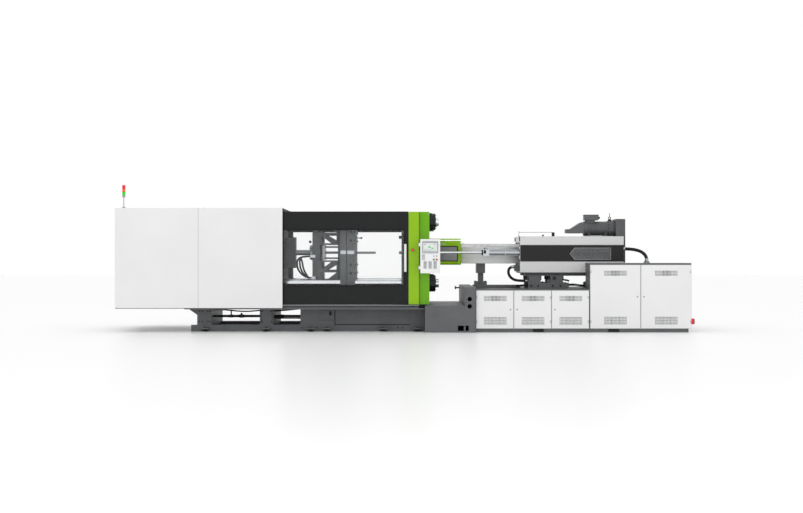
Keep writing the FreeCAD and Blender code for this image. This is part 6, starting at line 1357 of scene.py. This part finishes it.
@step("Base fittings")
def base_fittings():
    """Oil lines, valves, levelling feet, latch box, bolts and rail of the clamp base.

    Runs the lines through the openings between the legs and bolts the rest to the front.
    """
    # Each line's distance from the centre plane, its radius, and its route as (x, z).
    lines = ((-420, 21, ((-3370, 239), (-3200, 239), (-2900, 239), (-2500, 239), (-2100, 239), (-1690, 239))),
             (-470, 11, ((-3140, 352), (-3000, 350), (-2860, 336), (-2700, 322), (-2560, 318), (-2420, 330),
                         (-2340, 336))),
             (-470, 14, ((-2120, 330), (-1980, 336), (-1860, 348), (-1690, 366))),
             (-420, 12, ((-2120, 205), (-1960, 205), (-1800, 205), (-1690, 205))))
    piece("base_lines", [pipe([(x, y, z) for x, z in route], radius) for y, radius, route in lines],
          "frame", "hose_rubber")
    valves = joined(rod("z", (-2846, -420, 236), 108, 11, 1, 16), rod("z", (-2846, -420, 214), 50, 32, 3, 6),
                    lathe("z", (-2846, -420, 330), [(0, 8), (2, 28), (12, 29), (16, 10)], 28),
                    block((-2700, -452, 212), (-2646, -388, 268), 6, 2), rod("x", (-2720, -420, 239), 94, 27, 2, 6),
                    rod("z", (-2673, -420, 266), 26, 14, 2, 6), rod("x", (-2030, -420, 239), 60, 30, 2, 6))
    piece("base_valves", valves, "frame", "black_oxide")
    front = -660.0
    latch = joined(block((-1349, front - 6, 183), (-1111, front + 2, 381), 5, 2, "y"),
                   block((-1336, front - 9, 60), (-1124, front - 2, 176), 5, 2, "y"),
                   hex_screw("y", 8, -1).copies([(x, front - 6, z) for x in (-1332, -1128)
                                                           for z in (200, 364)]))
    piece("base_service_box", latch, "frame", "structure_paint")
    catch = joined(block((-1192, front - 18, 262), (-1156, front - 4, 316), 5, 2),
                   block((-1186, front - 24, 290), (-1162, front - 16, 330), 4, 2))
    piece("service_box_catch", catch, "frame", "gate_black")
    bolt = size("plate_bolt")
    rows = np.vstack([spots((-3340, -3290, -3200, -3160, -2300, -2160), front, (160, 330)),
                      spots((-2322, -2138), front, np.linspace(140, 380, 6)),
                      spots((-1640, -1400, -60, 20, 330), front, (60,))])
    piece("base_bolts", [hex_screw("y", bolt * 0.42, side).copies(rows * (1, -side, 1))
                         for side in SIDES], "frame", "black_oxide")
    feet = joined(rod("z", ORIGIN, 12, 60, 3, 32), rod("z", (0, 0, 12), 60, 20, 1, 20),
                  rod("z", (0, 0, 30), 18, 36, 2, 6))
    stands = (-3240, -2230, -1500, -1230, -300, 260)
    piece("levelling_feet", feet.copies(spots(stands, (-720, 720), 0)), "frame", "black_oxide")
    arms = block((-70, -60, 40), (70, 70, 62), 6, 2)
    piece("levelling_brackets", [arms.scaled((1, side, 1)).moved((x, side * 720, 0))
                                 for x in stands for side in SIDES],
          "frame", "structure_paint")
    sill = [block((-2010, side * 942, 427), (290, side * 949, 446), 3, 1, "x") for side in SIDES]
    piece("gate_track_rail", sill, "frame", "rail_grey")
    low, high = corners_of("drop_panel")
    # Cups in the two finger slots: from the back of the cup to its rim, then down to its floor.
    cup = [(16, 23.6), (0.5, 23.6), (0.5, 30), (-1.5, 30), (-1.5, 21), (12, 19)]
    wide = high[0] - low[0]
    cups = [lathe("y", (low[0] + wide * share, low[1], high[2] - 60), cup, 32)
            for share in (0.25, 0.75)]
    cups.append(button_screw("y", 8, -1).copies(
        spots(np.linspace(low[0] + 30, high[0] - 30, 6), low[1], (low[2] + 18,))))
    piece("finger_cups", cups, "frame", "structure_paint")
    # Flat black strips at the drop panel's left and lower edges stand for the shadow in its gap: painted shade.
    corner = (low[0] - 13, -662, 103)
    gap = joined(block(corner, (low[0] - 1, -660.3, 373), 2, 0.5, "y"),
                 block(corner, (high[0] + 8, -660.3, 115), 2, 0.5, "y"))
    piece("drop_panel_shadow_lines", gap, "frame", "dark_inside")
    feet = joined(block((298, -874, 388), (384, -866, 451), 4, 2), block((158, -916, 412), (222, -908, 450), 4, 2))
    piece("cover_feet", on_both(feet), "frame", "grip_black")
    handle = block((43, -972, 984), (81, -955, 1438), 10, 4)
    piece("gate_handle_sleeve", handle, "front_gate", "panel_white")


# ---------------------------------------------------------------- stage
@step("Stage")
def stage():
    """Pale floor, soft lights and the camera, level with the middle of the machine's front.

    Adds the floor, three soft lights, an even sky and the camera.
    """
    scene = bpy.context.scene
    floor = bpy.data.objects.new("floor", mesh_of("floor", Shape(
        np.array([(-60000, -40000, 0), (60000, -40000, 0), (60000, 60000, 0), (-60000, 60000, 0)]),
        [[0, 1, 2, 3]])))
    scene.collection.objects.link(floor)
    ground, tree, shader = begin("white_floor_paint", (0.96, 0.96, 0.96, 1.0), 0.32)
    shader.inputs["Specular IOR Level"].default_value = 0.12
    bump(tree, shader, grain(tree, 300, detail=2.0), 0.03, 1.0)
    floor.data.materials.append(ground)
    for name, place, aim, wide, power in (
            ("key_light", (-5.0, -11.0, 9.0), (0.0, 0.0, 1.0), (12.0, 6.0), 45.0),
            ("front_light", (1.0, -16.0, 0.9), (0.0, 0.0, 0.8), (16.0, 2.0), 130.0),
            ("top_light", (0.0, 2.0, 9.0), (0.0, 0.0, 1.0), (16.0, 8.0), 45.0)):
        lamp = bpy.data.lights.new(name, "AREA")
        lamp.shape, lamp.size, lamp.size_y, lamp.energy = "RECTANGLE", wide[0], wide[1], power
        thing = bpy.data.objects.new(name, lamp)
        thing.location = place
        away = [a - b for a, b in zip(place, aim)]
        thing.rotation_euler = (math.atan2(math.hypot(away[0], away[1]), away[2]), 0.0,
                                math.atan2(away[0], -away[1]))
        scene.collection.objects.link(thing)
    sky = bpy.data.worlds.new("even_white_sky")
    sky.use_nodes = True
    sky.node_tree.nodes["Background"].inputs["Color"].default_value = (1.0, 1.0, 1.0, 1.0)
    sky.node_tree.nodes["Background"].inputs["Strength"].default_value = 1.0
    scene.world = sky
    scene.view_settings.view_transform = "Standard"
    view = bpy.data.cameras.new("front_view")
    view.lens, view.sensor_width, view.clip_end = 56.4, 36.0, 200.0
    camera = bpy.data.objects.new("front_view", view)
    camera.location = (0.0, -bpy.context.scene.machine_sizes.camera_away, 1.234)
    camera.rotation_euler = (math.pi / 2, 0.0, 0.0)
    scene.collection.objects.link(camera)
    scene.camera = camera


@step("Finishes")
def finishes():
    """Gives every CAD node that stays in view its finish.

    Puts each finish in its nodes' material slots.
    """
    for name, nodes in NODE_FINISH.items():
        for node in nodes:
            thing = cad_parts[node]
            if not thing.material_slots:
                thing.data.materials.append(finish(name))
            for place in thing.material_slots:
                place.material = finish(name)


# ---------------------------------------------------------------- hoses
# Points of each hose's route, in metres, the same as in the CAD source.
HOSE_LEFT = ((1.900, -0.250, 1.060), (1.840, -0.250, 1.060), (1.796, -0.262, 1.004), (1.806, -0.284, 0.916),
             (1.874, -0.312, 0.846), (1.980, -0.340, 0.826), (2.125, -0.340, 0.826))
HOSE_RIGHT = ((3.700, -0.330, 1.362), (3.800, -0.330, 1.362), (3.916, -0.350, 1.350), (4.012, -0.412, 1.316),
              (4.062, -0.496, 1.258), (4.074, -0.546, 1.198), (4.074, -0.546, 1.151))


def smooth_line(points):
    """Points along the quadratic NURBS spline that has these as its control points."""
    curve = bpy.data.curves.new("route", "CURVE")
    curve.dimensions = "3D"
    spline = curve.splines.new("NURBS")
    spline.points.add(len(points) - 1)
    spline.points.foreach_set("co", np.hstack([points, np.ones((len(points), 1))]).ravel())
    spline.order_u = 3
    spline.use_endpoint_u = True
    spline.resolution_u = 10
    holder = bpy.data.objects.new("route", curve)
    line = bpy.data.meshes.new_from_object(holder)
    found = np.zeros(len(line.vertices) * 3)
    line.vertices.foreach_get("co", found)
    bpy.data.objects.remove(holder)
    return found.reshape(-1, 3)


def hose(name, points, diameter, stands_for):
    """Hose as a tube on its spline; it bends between the carriage, where it starts, and the frame."""
    path = smooth_line(points)
    thing = bpy.data.objects.new(name, mesh_of(name, tube(path / MM, diameter / MM / 2, 24)))
    bpy.context.scene.collection.objects.link(thing)
    thing.data.materials.append(finish("hose_rubber"))
    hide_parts(stands_for)
    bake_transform(thing)
    return thing


@step("Hoses")
def hoses():
    """The oil hose and the cable duct that follow the injection carriage, with their fittings.

    Builds both hoses on their routes, then the crimped sleeves and hexagons at their ends.
    """
    sizes = bpy.context.scene.machine_sizes
    for name, points, diameter in (("oil_hose", HOSE_LEFT, sizes.hose_left),
                                   ("cable_duct", HOSE_RIGHT, sizes.hose_right)):
        hose(name, points, diameter, {"oil_hose": "hose_left", "cable_duct": "hose_right"}[name])
    for name, point, axis, way, radius, body in (
            ("oil_hose_start", HOSE_LEFT[0], "x", -1, sizes.hose_left / 2, "carriage"),
            ("oil_hose_end", HOSE_LEFT[-1], "x", -1, sizes.hose_left / 2, "frame"),
            ("cable_duct_start", HOSE_RIGHT[0], "x", 1, sizes.hose_right / 2, "carriage"),
            ("cable_duct_end", HOSE_RIGHT[-1], "z", 1, sizes.hose_right / 2, "frame")):
        radius = radius / MM
        flip = np.ones(3)
        flip["xyz".index(axis)] = way
        sleeve = joined(washer(axis, (0, 0, 0), 16, radius + 10, radius + 0.5, 2, 6),
                        washer(axis, (0, 0, 16), 34, radius + 4, radius + 0.5, 2) if axis == "z"
                        else washer(axis, (16, 0, 0), 34, radius + 4, radius + 0.5, 2))
        piece(name, sleeve.scaled(flip).moved(np.array(point) / MM), body, "zinc_plate")


# ---------------------------------------------------------------- running order
OPERATORS = [STEPS[name] for name in (
    "stage", "hoses", "finishes", "signal_tower", "cover_fittings", "gates", "bar_nuts", "platen_fittings",
    "columns", "operator_panel", "nozzle_guard", "barrel_cover", "pull_cylinders", "injection_unit",
    "drive_motor", "bed_fittings", "cabinets", "base_fittings")]


class MACHINE_PT_panel(bpy.types.Panel):
    """Lists the machine's colours, sizes and steps."""
    bl_idname = "MACHINE_PT_panel"
    bl_label = "Injection moulding machine"
    bl_space_type = "VIEW_3D"
    bl_region_type = "UI"
    bl_category = "Machine"

    def draw(self, context):
        """Shows every colour and size, then a button for each step."""
        for group in (context.scene.machine_colours, context.scene.machine_sizes):
            for name in group.bl_rna.properties.keys():
                if name not in ("rna_type", "name"):
                    self.layout.prop(group, name)
        for operator in OPERATORS:
            self.layout.operator(operator.bl_idname)


CLASSES = (MachineColours, MachineSizes, *OPERATORS, MACHINE_PT_panel)


def register():
    """Registers the classes and hangs the two groups of settings on the scene."""
    for each in CLASSES:
        bpy.utils.register_class(each)
    bpy.types.Scene.machine_colours = PointerProperty(type=MachineColours)
    bpy.types.Scene.machine_sizes = PointerProperty(type=MachineSizes)


def unregister():
    """Takes the settings and classes away again."""
    del bpy.types.Scene.machine_sizes
    del bpy.types.Scene.machine_colours
    for each in reversed(CLASSES):
        bpy.utils.unregister_class(each)


def main():
    """Runs every step in order and writes the sizes of the frame and of the finished model."""
    register()
    for operator in OPERATORS:
        group, name = operator.bl_idname.split(".")
        getattr(getattr(bpy.ops, group), name)()


if __name__ == "__main__":
    main()
